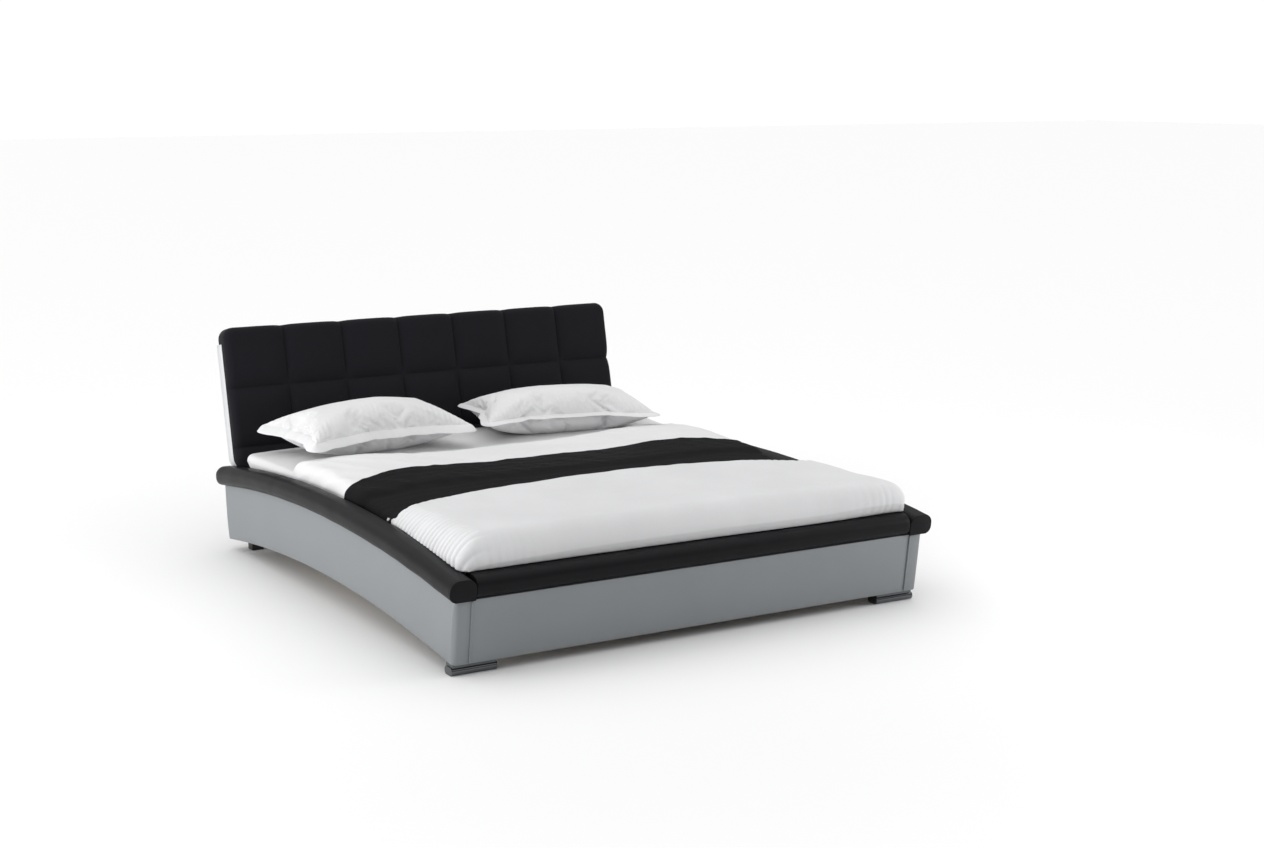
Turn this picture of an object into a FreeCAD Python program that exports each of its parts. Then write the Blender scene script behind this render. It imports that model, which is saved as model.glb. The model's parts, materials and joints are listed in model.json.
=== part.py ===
"""Low upholstered bed with arched side rails, padded rolls and a raked, quilted headboard.

Frame: +X across the bed, +Y towards the headboard, +Z up. The origin is on the floor under
the middle of the whole footprint. All lengths are in millimetres and all angles in degrees.
"""
import FreeCAD, Part
import Sketcher
import os

SIZES = {
    # mattress and the space it lies in
    "mattress_width": 1800, "mattress_length": 2000, "mattress_height": 200, "mattress_round": 30,
    "mattress_gap": 25, "mattress_foot_gap": 15, "end_allowance": 200,
    # arched side rails and foot panel
    "arch_rise": 76, "foot_height": 42, "rail_depth": 230, "rail_thickness": 60, "cover_wall": 4,
    "seam_gap": 0.3, "joint_gap": 1,
    # padded rolls on top of the rails
    "roll_width": 102, "roll_height": 80, "roll_shift": 8, "roll_round": 36, "roll_base_round": 30,
    "roll_overhang": 12, "cover_round": 20,
    # headboard
    "headboard_lean": 12, "headboard_setback": 118, "headboard_slope": 956, "headboard_side_gap": 2,
    "pad_front": 59, "pad_rim": 22, "pad_bottom": 196, "pad_round": 30,
    "face_board": 6, "back_board": 12, "back_bottom": 70, "back_inset": 6,
    "post_width": 60, "post_depth": 30, "post_bottom": 60, "cross_height": 60,
    # head cross rail under the headboard
    "head_rail_set": 10, "head_rail_height": 105, "head_rail_bottom": 46,
    # slat support
    "ledge_width": 25, "ledge_height": 40, "seat_rise": 148,
    "slat_count": 14, "slat_width": 68, "slat_thickness": 8, "slat_crown": 10, "slat_end_gap": 90,
    "cap_length": 17, "cap_wall": 2.5, "slat_gap": 1.2,
    "beam_width": 40, "beam_height": 60, "beam_wall": 2, "hanger_wall": 3, "hanger_length": 50,
    "hanger_height": 45,
    # centre legs
    "leg_count": 2, "leg_diameter": 32, "leg_wall": 2, "plate_side": 70, "plate_width": 38,
    "plate_thickness": 4,
    "stud_diameter": 10, "insert_height": 20, "glide_diameter": 36, "glide_height": 12,
    "glide_travel": 12, "thread_gap": 0.05,
    # corner brackets and screws
    "bracket_leg": 60, "bracket_wall": 4, "bracket_height": 90, "bracket_drop": 45,
    "screw_diameter": 6, "screw_length": 30, "screw_head": 12, "screw_head_height": 4, "screw_gap": 0.25,
    # feet
    "front_foot_length": 172, "front_foot_depth": 56, "front_foot_bar": 29, "front_foot_top_depth": 46,
    "front_foot_set": 16, "rear_foot_side": 50,
    # bedding
    "bedding_gap": 0.5, "bedding_side": 4, "sheet_thickness": 12, "sheet_length": 465,
    "blanket_thickness": 16, "blanket_length": 485, "duvet_thickness": 48, "duvet_length": 625,
    "duvet_overhang": 58, "duvet_drop": 44,
    # pillows
    "pillow_length": 700, "pillow_depth": 400, "pillow_height": 185, "pillow_corner": 90,
    "pillow_round": 60, "left_pillow_x": -420, "left_pillow_back": 145, "left_pillow_turn": 7,
    "right_pillow_x": 480, "right_pillow_back": 175, "right_pillow_turn": -12,
    # origin of the frame, measured from the middle of the rails; set once the sub-parts are built
    "footprint_shift": 0,
}

doc = FreeCAD.newDocument("upholstered_bed")
sheet = doc.addObject("Spreadsheet::Sheet", "Sizes")
for row, (alias, value) in enumerate(SIZES.items(), start=1):
    sheet.set(f"A{row}", alias)
    sheet.set(f"B{row}", str(value))
    sheet.setAlias(f"B{row}", alias)
doc.recompute()

X_AXIS = FreeCAD.Vector(1, 0, 0)
SIDES = {"left": -1, "right": 1}
PARTS = []


def size(text):
    """Put the sheet's name before every alias in a formula."""
    words = []
    word = ""
    for letter in text + " ":
        if letter.isalnum() or letter == "_":
            word += letter
            continue
        words.append(f"Sizes.{word}" if word in SIZES else word)
        words.append(letter)
        word = ""
    return "".join(words).strip()


RADIUS = "(((mattress_length + end_allowance) / 2)^2 + arch_rise^2) / (2 * arch_rise)"
HALF_SWEEP = f"asin((mattress_length + end_allowance) / 2 / ({RADIUS}))"
RAIL_GAP = "(mattress_width + 2 * mattress_gap)"
RAIL_MIDDLE = f"({RAIL_GAP} / 2 + rail_thickness / 2)"
ROLL_MIDDLE = f"({RAIL_MIDDLE} + roll_shift)"
ROLL_INNER = f"({ROLL_MIDDLE} - roll_width / 2)"
HEADBOARD_WIDTH = f"(2 * ({ROLL_INNER} - headboard_side_gap))"
SLAT_SEAT = "(foot_height + seat_rise)"
BEAM_TOP = f"({SLAT_SEAT} - cap_wall)"


class Plane:
    """A working plane across the bed: a pivot line along X at (y, z), leaned by an angle."""

    def __init__(self, y, z, lean):
        self.y = y
        self.z = z
        self.lean = lean


FLOOR = Plane("-footprint_shift", "0", "0")
ARCH = Plane("-footprint_shift", f"foot_height + arch_rise - {RADIUS}", "0")
FOOT_END = Plane(ARCH.y, ARCH.z, HALF_SWEEP)
HEAD = Plane("(mattress_length + end_allowance) / 2 - headboard_setback - footprint_shift", "0",
             "-headboard_lean")


def bind(item, prop, formula):
    """Bind one property of a document object to a formula of named sizes."""
    item.setExpression(prop, size(formula))


def place(item, plane, x, y, z, turn=None):
    """Put an object's own origin at (x, y, z) of a working plane."""
    lean = f"({plane.lean}) * 1deg" if "asin" not in plane.lean else plane.lean
    item.Placement = FreeCAD.Placement(FreeCAD.Vector(), FreeCAD.Rotation(X_AXIS, 1))
    bind(item, "Placement.Base.x", x)
    bind(item, "Placement.Base.y", f"{plane.y} + ({y}) * cos({lean}) - ({z}) * sin({lean})")
    bind(item, "Placement.Base.z", f"{plane.z} + ({y}) * sin({lean}) + ({z}) * cos({lean})")
    bind(item, "Placement.Rotation.Angle", lean)
    if turn:
        item.Placement = FreeCAD.Placement(FreeCAD.Vector(), FreeCAD.Rotation(FreeCAD.Vector(0, 0, 1), 1))
        bind(item, "Placement.Rotation.Angle", turn)


def keep(item, name):
    """Give a finished sub-part the name that it is filed under."""
    item.Label = name
    PARTS.append(item)
    return item


def box(name, plane, width, depth, height, x, y, z):
    """A block centred on x, from y and z of a working plane."""
    item = doc.addObject("Part::Box", name)
    bind(item, "Length", width)
    bind(item, "Width", depth)
    bind(item, "Height", height)
    place(item, plane, f"{x} - ({width}) / 2", y, z)
    return item


def rod(name, plane, diameter, height, x, y, z):
    """A round bar standing on a working plane."""
    item = doc.addObject("Part::Cylinder", name)
    bind(item, "Radius", f"({diameter}) / 2")
    bind(item, "Height", height)
    place(item, plane, x, y, z)
    return item


def cross_rod(name, plane, diameter, length, x, y, z, along_y=False):
    """A round bar lying along X, or along Y of a working plane."""
    body, sketch = section(name, "XZ_Plane" if along_y else "YZ_Plane")
    circle = sketch.addGeometry(Part.Circle(FreeCAD.Vector(), FreeCAD.Vector(0, 0, 1), 5), False)
    sketch.addConstraint(Sketcher.Constraint("Coincident", circle, 3, -1, 1))
    radius = sketch.addConstraint(Sketcher.Constraint("Radius", circle, 5))
    sketch.setExpression(f"Constraints[{radius}]", size(f"({diameter}) / 2"))
    pad(body, sketch, length, reverse=along_y)
    place(body, plane, x, y, z)
    return body


def join(kind, name, first, second):
    """A boolean of two objects."""
    item = doc.addObject(f"Part::{kind}", name)
    item.Base = first
    item.Tool = second
    return item


def group(name, items):
    """Separate pieces that share one node."""
    item = doc.addObject("Part::Compound", name)
    item.Links = items
    return item


def section(name, plane_role):
    """A body with an empty sketch on one of its own origin planes."""
    body = doc.addObject("PartDesign::Body", name)
    body.AllowCompound = True
    sketch = body.newObject("Sketcher::SketchObject", f"{name}_section")
    plane = [item for item in body.Origin.OriginFeatures if item.Role == plane_role][0]
    sketch.AttachmentSupport = [(plane, "")]
    sketch.MapMode = "FlatFace"
    return body, sketch


def rectangle(sketch, width, bottom, height):
    """A rectangle centred on the sketch's upright axis, its lower edge at a height."""
    corners = [(-1, 1), (1, 1), (1, 2), (-1, 2)]
    points = [FreeCAD.Vector(50 * across, 100 * up, 0) for across, up in corners]
    lines = [sketch.addGeometry(Part.LineSegment(points[i], points[i - 3]), False) for i in range(4)]
    for i in range(4):
        sketch.addConstraint(Sketcher.Constraint("Coincident", lines[i], 2, lines[i - 3], 1))
    sketch.addConstraint(Sketcher.Constraint("Horizontal", lines[2]))
    sketch.addConstraint(Sketcher.Constraint("Vertical", lines[1]))
    sketch.addConstraint(Sketcher.Constraint("Vertical", lines[3]))
    sketch.addConstraint(Sketcher.Constraint("Symmetric", lines[0], 1, lines[0], 2, -2))
    across = sketch.addConstraint(Sketcher.Constraint("DistanceX", lines[0], 1, lines[0], 2, 100))
    sketch.setExpression(f"Constraints[{across}]", size(width))
    if bottom == "0":
        sketch.addConstraint(Sketcher.Constraint("PointOnObject", lines[0], 1, -1))
    else:
        low = sketch.addConstraint(Sketcher.Constraint("DistanceY", -1, 1, lines[0], 1, 100))
        sketch.setExpression(f"Constraints[{low}]", size(bottom))
    tall = sketch.addConstraint(Sketcher.Constraint("DistanceY", lines[1], 1, lines[1], 2, 100))
    sketch.setExpression(f"Constraints[{tall}]", size(height))


def pad(body, sketch, length, reverse=False, midplane=False):
    """Extend a section into a bar."""
    feature = body.newObject("PartDesign::Pad", f"{body.Name}_pad")
    feature.Profile = sketch
    feature.Reversed = reverse
    feature.Midplane = midplane
    bind(feature, "Length", length)
    return feature


def bar(name, plane, width, height, length, x, y, z):
    """A straight bar with a rectangular section, running to both sides of x."""
    body, sketch = section(name, "YZ_Plane")
    rectangle(sketch, width, "0", height)
    pad(body, sketch, length, midplane=True)
    place(body, plane, x, y, z)
    return body


def arch(name, width, bottom, height, x, trim="0"):
    """A bar bent along the side rail's arch, stopping short of the rail's ends by a trim."""
    body, sketch = section(name, "XZ_Plane")
    rectangle(sketch, width, f"{RADIUS} + {bottom}", height)
    turn = body.newObject("PartDesign::Revolution", f"{name}_turn")
    turn.Profile = sketch
    turn.ReferenceAxis = (sketch, ["H_Axis"])
    turn.Midplane = True
    bind(turn, "Angle", f"2 * {HALF_SWEEP} - 2 * ({trim}) / ({RADIUS}) * 1rad")
    place(body, ARCH, x, "0", "0")
    return body


def soften(body, radius, picks):
    """Round the picked edges of a body's last feature."""
    doc.recompute()
    base = body.Tip
    names = [f"Edge{i}" for i, edge in enumerate(base.Shape.Edges, start=1) if picks(edge)]
    fillet = body.newObject("PartDesign::Fillet", f"{body.Name}_round_{len(body.Group)}")
    fillet.Base = (base, names)
    bind(fillet, "Radius", radius)
    body.Tip = fillet
    return body


def height_of(edge):
    """Height of an edge's middle over its own origin."""
    return edge.CenterOfMass.z


def runs_along(edge, axis):
    """Whether a straight edge runs along an axis."""
    ends = edge.Vertexes
    if len(ends) < 2:
        return False
    way = ends[1].Point.sub(ends[0].Point)
    return abs(way.dot(axis)) > 0.999 * way.Length


def outer_end(sign):
    """Picks the upright edges at both ends of a side rail's outer face."""
    return lambda edge: (edge.Curve.TypeId == "Part::GeomLine" and not runs_along(edge, X_AXIS)
                         and sign * edge.CenterOfMass.x > 0)


def front_base(edge):
    """Whether an edge is the lower front one of a bar across the bed."""
    return runs_along(edge, X_AXIS) and height_of(edge) < EDGE_SLACK and edge.CenterOfMass.y < 0


def drill(item, name, tools):
    """Cut the holes of a set of rods out of a sub-part."""
    return join("Cut", name, item, group(f"{name}_holes", tools))


def screw(name, plane, across, along, x, y, z):
    """A round-headed screw and its clearance hole; its tip points across (X) or along (Y)."""
    pieces = []
    for label, diameter, length, back in (("shank", "screw_diameter", "screw_length", "0"),
                                          ("head", "screw_head", "screw_head_height", "screw_head_height"),
                                          ("hole", "screw_diameter + 2 * screw_gap",
                                           "screw_length + screw_head", "screw_head")):
        start = f"-({back})" if across + along > 0 else f"({back}) - ({length})"
        base_x = f"{x} + {start}" if across else x
        base_y = f"{y} + {start}" if along else y
        pieces.append(cross_rod(f"{name}_{label}", plane, diameter, length, base_x, base_y, z, along != 0))
    shank, head, hole = pieces
    return join("Fuse", name, shank, head), hole


def sleeve(name, x):
    """A row of slat caps along the bed, each a short sleeve that a slat's end lies in."""
    body, sketch = section(name, "YZ_Plane")
    opening = "slat_thickness + 2 * slat_gap"
    rectangle(sketch, "slat_width + 2 * slat_gap + 2 * cap_wall", "0", f"{opening} + 2 * cap_wall")
    rectangle(sketch, "slat_width + 2 * slat_gap", "cap_wall", opening)
    row(body, sketch, pad(body, sketch, "cap_length", midplane=True))
    place(body, FLOOR, x, FIRST_SLAT, f"{BEAM_TOP} - slat_gap")
    return body


def row(body, sketch, feature):
    """Repeat a feature once for each slat."""
    pattern = body.newObject("PartDesign::LinearPattern", f"{body.Name}_row")
    pattern.Originals = [feature]
    pattern.Direction = (sketch, ["H_Axis"])
    pattern.Length = 1
    bind(pattern, "Length", "mattress_length - 2 * slat_end_gap")
    bind(pattern, "Occurrences", "slat_count")
    body.Tip = pattern


def build_side(side, sign):
    """One side rail: arched board, its cover, the padded roll on top and the slat ledge."""
    middle = f"{sign} * {RAIL_MIDDLE}"
    lining = "(cover_wall + seam_gap)"
    board = arch(f"{side}_board", f"rail_thickness - 2 * {lining}", lining,
                 f"rail_depth - {lining}", middle, lining)
    soften(board, f"cover_round - {lining}", outer_end(sign))
    keep(board, f"{side}_rail_board")
    skin = arch(f"{side}_skin", "rail_thickness", "0", "rail_depth", middle)
    soften(skin, "cover_round", outer_end(sign))
    hollow = arch(f"{side}_hollow", "rail_thickness - 2 * cover_wall", "cover_wall", "rail_depth", middle,
                  "cover_wall")
    soften(hollow, "cover_round - cover_wall", outer_end(sign))
    keep(join("Cut", f"{side}_cover", skin, hollow), f"{side}_rail_cover")
    roll = arch(f"{side}_roll", "roll_width", "(rail_depth + seam_gap)", "roll_height",
                f"{sign} * {ROLL_MIDDLE}", "-roll_overhang")
    doc.recompute()
    crest = max(edge.Curve.Radius for edge in roll.Shape.Edges if edge.Length > LONG_EDGE)
    soften(roll, "roll_round", lambda edge: edge.Length > LONG_EDGE
           and edge.Curve.Radius > crest - EDGE_SLACK)
    base = min(edge.Curve.Radius for edge in roll.Shape.Edges if edge.Length > LONG_EDGE)
    soften(roll, "roll_base_round", lambda edge: edge.Length > LONG_EDGE
           and edge.Curve.Radius < base + EDGE_SLACK and sign * edge.CenterOfMass.x > 0)
    keep(roll, f"{side}_rail_roll")

    ledge_start = "(-(mattress_length + end_allowance) / 2 + rail_thickness + bracket_leg)"
    ledge_end = "((mattress_length + end_allowance) / 2 - headboard_setback - bracket_leg + head_rail_set)"
    ledge_length = f"({ledge_end} - {ledge_start})"
    ledge_x = f"{sign} * ({RAIL_GAP} / 2 - ledge_width / 2)"
    ledge = box(f"{side}_ledge", FLOOR, "ledge_width", ledge_length, "ledge_height", ledge_x,
                ledge_start, f"{BEAM_TOP} - slat_gap - ledge_height")
    screws = []
    holes = []
    for number in range(LEDGE_SCREWS):
        along = f"{ledge_start} + {ledge_length} * {(number + 0.5) / LEDGE_SCREWS}"
        item, hole = screw(f"{side}_ledge_screw_{number}", FLOOR, sign, 0,
                           f"{sign} * ({RAIL_GAP} / 2 - ledge_width)", along,
                           f"{BEAM_TOP} - slat_gap - ledge_height / 2")
        screws.append(item)
        holes.append(hole)
    keep(drill(ledge, f"{side}_ledge_drilled", holes), f"{side}_slat_ledge")
    keep(group(f"{side}_screws", screws), f"{side}_ledge_screws")


def build_foot_panel():
    """The foot panel between the side rails: board, cover and padded roll."""
    lining = "(cover_wall + seam_gap)"
    width = f"({RAIL_GAP} - 2 * joint_gap)"
    board = box("foot_board", FOOT_END, f"{width} - 2 * {lining}", f"rail_thickness - 2 * {lining}",
                f"rail_depth - {lining}", "0", lining, f"{RADIUS} + {lining}")
    keep(board, "foot_panel_board")
    skin = box("foot_skin", FOOT_END, width, "rail_thickness", "rail_depth", "0", "0", RADIUS)
    hollow = box("foot_hollow", FOOT_END, f"{width} - 2 * cover_wall", "rail_thickness - 2 * cover_wall",
                 "rail_depth", "0", "cover_wall", f"{RADIUS} + cover_wall")
    keep(join("Cut", "foot_cover", skin, hollow), "foot_panel_cover")
    roll = bar("foot_bolster", FOOT_END, "roll_width", "roll_height", f"2 * ({ROLL_INNER} - joint_gap)", "0",
               "roll_width / 2 - roll_overhang", f"{RADIUS} + rail_depth + seam_gap")
    doc.recompute()
    soften(roll, "roll_round", lambda edge: runs_along(edge, X_AXIS) and height_of(edge) > CREST_PICK)
    soften(roll, "roll_base_round", front_base)
    keep(roll, "foot_roll")


def build_headboard():
    """The raked headboard: quilted pad, face board, posts, crossbars, back board and cross rail."""
    depth = "(pad_front + face_board + post_depth)"
    width = HEADBOARD_WIDTH
    inner = f"({width} - 2 * pad_rim - 2 * joint_gap)"
    cushion = bar("head_cushion", HEAD, depth, "headboard_slope - pad_bottom", width, "0",
                  f"{depth} / 2", "pad_bottom")
    doc.recompute()
    soften(cushion, "pad_round", lambda edge: edge.CenterOfMass.y < -CREST_PICK / 2
           and height_of(edge) > EDGE_SLACK)
    pocket = box("head_pocket", HEAD, f"{width} - 2 * pad_rim", f"{depth}", "headboard_slope - pad_rim", "0",
                 "pad_front", "0")
    keep(join("Cut", "head_pad", cushion, pocket), "headboard_pad")
    top = "(headboard_slope - pad_rim - joint_gap)"
    keep(box("face", HEAD, inner, "face_board", f"{top} - pad_bottom", "0", "pad_front", "pad_bottom"),
         "headboard_face_board")
    behind = "(pad_front + face_board)"
    post_middle = f"({inner} / 2 - post_width / 2)"
    for side, sign in SIDES.items():
        post = box(f"{side}_post", HEAD, "post_width", "post_depth", f"{top} - post_bottom",
                   f"{sign} * {post_middle}", behind, "post_bottom")
        keep(post, f"headboard_{side}_post")
    span = f"({inner} - 2 * post_width - 2 * joint_gap)"
    heights = {"lower": "pad_bottom", "middle": f"(pad_bottom + {top} - cross_height) / 2",
               "upper": f"{top} - cross_height"}
    for label, height in heights.items():
        crossbar = box(f"{label}_cross", HEAD, span, "post_depth", "cross_height", "0", behind, height)
        keep(crossbar, f"headboard_{label}_crossbar")
    keep(box("back", HEAD, f"{width} - 2 * back_inset", "back_board",
             "headboard_slope - back_inset - back_bottom", "0", depth, "back_bottom"), "headboard_back_cover")
    keep(box("cross_rail", HEAD, f"{RAIL_GAP} - 2 * joint_gap", f"{behind} - head_rail_set",
             "head_rail_height", "0", "head_rail_set", "head_rail_bottom"), "head_cross_rail")


def build_slats():
    """Sprung slats in two rows, in rubber caps on the ledges and on the centre beam."""
    inner_gap = "joint_gap"
    length = f"({RAIL_GAP} / 2 - 4 * {inner_gap})"
    bow = f"((({length}) / 2)^2 + slat_crown^2) / (2 * slat_crown)"
    for side, sign in SIDES.items():
        middle = f"{sign} * ({RAIL_GAP} / 4)"
        body, sketch = section(f"{side}_slat", "YZ_Plane")
        rectangle(sketch, "slat_width", bow, "slat_thickness")
        turn = body.newObject("PartDesign::Revolution", f"{side}_slat_turn")
        turn.Profile = sketch
        turn.ReferenceAxis = (sketch, ["H_Axis"])
        turn.Midplane = True
        bind(turn, "Angle", f"2 * asin(({length}) / 2 / ({bow}))")
        row(body, sketch, turn)
        place(body, FLOOR, middle, FIRST_SLAT, f"{SLAT_SEAT} + slat_crown - ({bow})")
        keep(body, f"{side}_slats")
        keep(sleeve(f"{side}_outer_cap", f"{sign} * ({RAIL_GAP} / 2 - cap_length / 2 - 3 * joint_gap)"),
             f"{side}_outer_slat_caps")
        keep(sleeve(f"{side}_inner_cap", f"{sign} * (cap_length / 2 + joint_gap)"), f"{side}_inner_slat_caps")


def build_beam():
    """The steel centre beam, its hangers, its legs and their screw-in glides."""
    top = f"({BEAM_TOP} - slat_gap)"
    bottom = f"({top} - beam_height)"
    start = "(-(mattress_length + end_allowance) / 2 + rail_thickness + hanger_wall)"
    head_face = (f"((mattress_length + end_allowance) / 2 - headboard_setback + {bottom}"
                 " * tan(headboard_lean * 1deg))")
    length = f"({head_face} - hanger_wall - ({start}))"
    tube = box("beam_tube", FLOOR, "beam_width", length, "beam_height", "0", start, bottom)
    bore = box("beam_bore", FLOOR, "beam_width - 2 * beam_wall", f"{length} + 2 * beam_wall",
               "beam_height - 2 * beam_wall", "0", f"{start} - beam_wall", f"{bottom} + beam_wall")
    keep(join("Cut", "beam", tube, bore), "centre_beam")

    plate_width = "(beam_width + 4 * hanger_wall)"
    cradle_z = f"{bottom} - hanger_wall"
    foot_plate = box("foot_hanger_plate", FOOT_END, plate_width, "hanger_wall", "hanger_height", "0",
                     "rail_thickness", f"{RADIUS} + {bottom} - foot_height - 7 * hanger_wall")
    foot_cradle = box("foot_hanger_cradle", FLOOR, plate_width, "hanger_length", "hanger_wall", "0",
                      f"{start} - 6 * hanger_wall", cradle_z)
    panel = box("foot_hanger_trim", FOOT_END, f"2 * {plate_width}", "rail_thickness", "rail_depth", "0", "0",
                RADIUS)
    keep(join("Cut", "foot_hanger", join("Fuse", "foot_hanger_raw", foot_plate, foot_cradle), panel),
         "foot_beam_hanger")
    head_plate = box("head_hanger_plate", HEAD, plate_width, "hanger_wall", "hanger_height", "0",
                     "head_rail_set - hanger_wall", "head_rail_bottom + head_rail_height - hanger_height")
    head_cradle = box("head_hanger_cradle", FLOOR, plate_width, "hanger_length", "hanger_wall", "0",
                      f"{start} + {length} - hanger_length + 5 * hanger_wall", cradle_z)
    rail = box("head_hanger_trim", HEAD, f"2 * {plate_width}", "rail_thickness", "rail_depth", "0",
               "head_rail_set", "0")
    keep(join("Cut", "head_hanger", join("Fuse", "head_hanger_raw", head_plate, head_cradle), rail),
         "head_beam_hanger")

    for number in range(1, SIZES["leg_count"] + 1):
        along = f"(mattress_length + end_allowance) * ({number} / (leg_count + 1) - 1 / 2)"
        foot = "(glide_height + glide_travel)"
        outer = rod(f"leg_{number}_tube", FLOOR, "leg_diameter", f"{bottom} - {foot}", "0", along, foot)
        inner = rod(f"leg_{number}_bore", FLOOR, "leg_diameter - 2 * leg_wall",
                    f"{bottom} - {foot} - insert_height - plate_thickness", "0", along,
                    f"{foot} + insert_height")
        thread = rod(f"leg_{number}_thread", FLOOR, "stud_diameter + 2 * thread_gap", "2 * insert_height",
                     "0", along, f"{foot} - insert_height")
        plate = box(f"leg_{number}_plate", FLOOR, "plate_width", "plate_side", "plate_thickness", "0",
                    f"{along} - plate_side / 2", f"{bottom} - plate_thickness")
        tube = join("Cut", f"leg_{number}_hollow", outer, group(f"leg_{number}_bores", [inner, thread]))
        keep(join("Fuse", f"leg_{number}", tube, plate), f"centre_leg_{number}")
        disc = rod(f"glide_{number}_disc", FLOOR, "glide_diameter", "glide_height", "0", along, "0")
        stud = rod(f"glide_{number}_stud", FLOOR, "stud_diameter",
                   f"{foot} + insert_height - 2 * joint_gap", "0", along, "0")
        keep(join("Fuse", f"glide_{number}", disc, stud), f"leg_glide_{number}")


def build_corners():
    """Corner brackets with their screws, at the foot panel and at the head cross rail."""
    for end, plane, face, inward, low in (
            ("foot", FOOT_END, "rail_thickness", 1, f"{RADIUS} + bracket_drop"),
            ("head", HEAD, "head_rail_set", -1, "head_rail_bottom + 2 * bracket_wall")):
        screws = []
        for side, sign in SIDES.items():
            wall = f"({RAIL_GAP} / 2 - joint_gap)"
            flat_y = face if inward > 0 else f"{face} - bracket_wall"
            arm_y = face if inward > 0 else f"{face} - bracket_leg"
            flat = box(f"{end}_{side}_flat", plane, "bracket_leg", "bracket_wall", "bracket_height",
                       f"{sign} * ({wall} - bracket_leg / 2)", flat_y, low)
            arm = box(f"{end}_{side}_arm", plane, "bracket_wall", "bracket_leg", "bracket_height",
                      f"{sign} * ({wall} - bracket_wall / 2)", arm_y, low)
            holes = []
            for share in BRACKET_SCREWS:
                height = f"{low} + bracket_height * {share}"
                into_end = screw(f"{end}_{side}_end_screw_{len(screws)}", plane, 0, -inward,
                                 f"{sign} * ({wall} - bracket_leg * {BRACKET_REACH})",
                                 f"{face} + {inward} * bracket_wall", height)
                into_rail = screw(f"{end}_{side}_rail_screw_{len(screws)}", plane, sign, 0,
                                  f"{sign} * ({wall} - bracket_wall)",
                                  f"{face} + {inward} * bracket_leg * {BRACKET_REACH}", height)
                screws += [into_end[0], into_rail[0]]
                holes += [into_end[1], into_rail[1]]
            angle = join("Fuse", f"{end}_{side}_angle", flat, arm)
            keep(drill(angle, f"{end}_{side}_angle_drilled", holes), f"{end}_{side}_bracket")
        keep(group(f"{end}_screws", screws), f"{end}_bracket_screws")


def build_feet():
    """Chrome bar feet under the front corners and square blocks under the head cross rail."""
    for side, sign in SIDES.items():
        middle = f"{sign} * ({RAIL_GAP} / 2 + rail_thickness - cover_wall - front_foot_length / 2)"
        front = "(-(mattress_length + end_allowance) / 2 + front_foot_set)"
        lower = bar(f"{side}_foot_bar", FLOOR, "front_foot_depth", "front_foot_bar", "front_foot_length",
                    middle, f"{front} + front_foot_depth / 2", "0")
        soften(lower, "front_foot_bar / 2 - joint_gap", lambda edge: runs_along(edge, X_AXIS))
        upper = bar(f"{side}_foot_neck", FOOT_END, "front_foot_top_depth",
                    "foot_height - front_foot_bar / 2 - joint_gap",
                    "front_foot_length - 2 * cover_wall", middle,
                    "front_foot_set + front_foot_depth / 2 - joint_gap",
                    f"{RADIUS} - foot_height + front_foot_bar / 2")
        keep(join("Fuse", f"{side}_front_foot", lower, upper), f"front_{side}_foot")
        block = box(f"{side}_block", FLOOR, "rear_foot_side", "rear_foot_side", "2 * rear_foot_side",
                    f"{sign} * ({RAIL_GAP} / 2 - rear_foot_side / 2 - 10 * joint_gap)",
                    "(mattress_length + end_allowance) / 2 - headboard_setback"
                    " + head_rail_bottom * tan(headboard_lean * 1deg) + head_rail_set", "0")
        above = box(f"{side}_block_trim", HEAD, f"3 * {RAIL_GAP}", "8 * rear_foot_side", "8 * rear_foot_side",
                    "0", "-4 * rear_foot_side", "head_rail_bottom")
        keep(join("Cut", f"{side}_rear_foot", block, above), f"rear_{side}_foot")


def build_bedding():
    """Mattress, turned-down sheet, throw, duvet and two pillows."""
    foot = "(-(mattress_length + end_allowance) / 2 + rail_thickness + mattress_foot_gap)"
    base = f"({SLAT_SEAT} + slat_crown + slat_thickness + bedding_gap)"
    mattress = bar("mattress_block", FLOOR, "mattress_length", "mattress_height", "mattress_width", "0",
                   f"{foot} + mattress_length / 2", base)
    soften(mattress, "mattress_round", lambda edge: True)
    keep(mattress, "mattress")
    top = f"({base} + mattress_height + bedding_gap)"
    width = "(mattress_width + 2 * bedding_side)"
    duvet_start = f"({foot} - duvet_overhang)"
    throw_start = f"({duvet_start} + duvet_length + joint_gap)"
    sheet_start = f"({throw_start} + blanket_length + joint_gap)"
    keep(box("sheet_block", FLOOR, width, "sheet_length", "sheet_thickness", "0", sheet_start, top),
         "top_sheet")
    keep(box("throw_block", FLOOR, width, "blanket_length", "blanket_thickness", "0", throw_start, top),
         "blanket")
    cover = box("duvet_block", FLOOR, width, "duvet_length", "duvet_thickness", "0", duvet_start, top)
    drop = box("duvet_fall", FLOOR, width, "duvet_overhang - 2 * joint_gap",
               "duvet_drop + duvet_thickness", "0",
               duvet_start, f"{top} - duvet_drop")
    keep(join("Fuse", "duvet_fold", cover, drop), "duvet")
    for side in SIDES:
        pillow = bar(f"{side}_cushion", FLOOR, "pillow_depth", "pillow_height", "pillow_length",
                     "0", "0", "0")
        doc.recompute()
        soften(pillow, "pillow_corner", lambda edge: runs_along(edge, FreeCAD.Vector(0, 0, 1)))
        soften(pillow, "pillow_round", lambda edge: not runs_along(edge, FreeCAD.Vector(0, 0, 1)))
        place(pillow, FLOOR, f"{side}_pillow_x", f"{foot} + mattress_length - {side}_pillow_back",
              f"{top} + sheet_thickness + bedding_gap", f"{side}_pillow_turn")
        keep(pillow, f"{side}_pillow")


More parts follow.
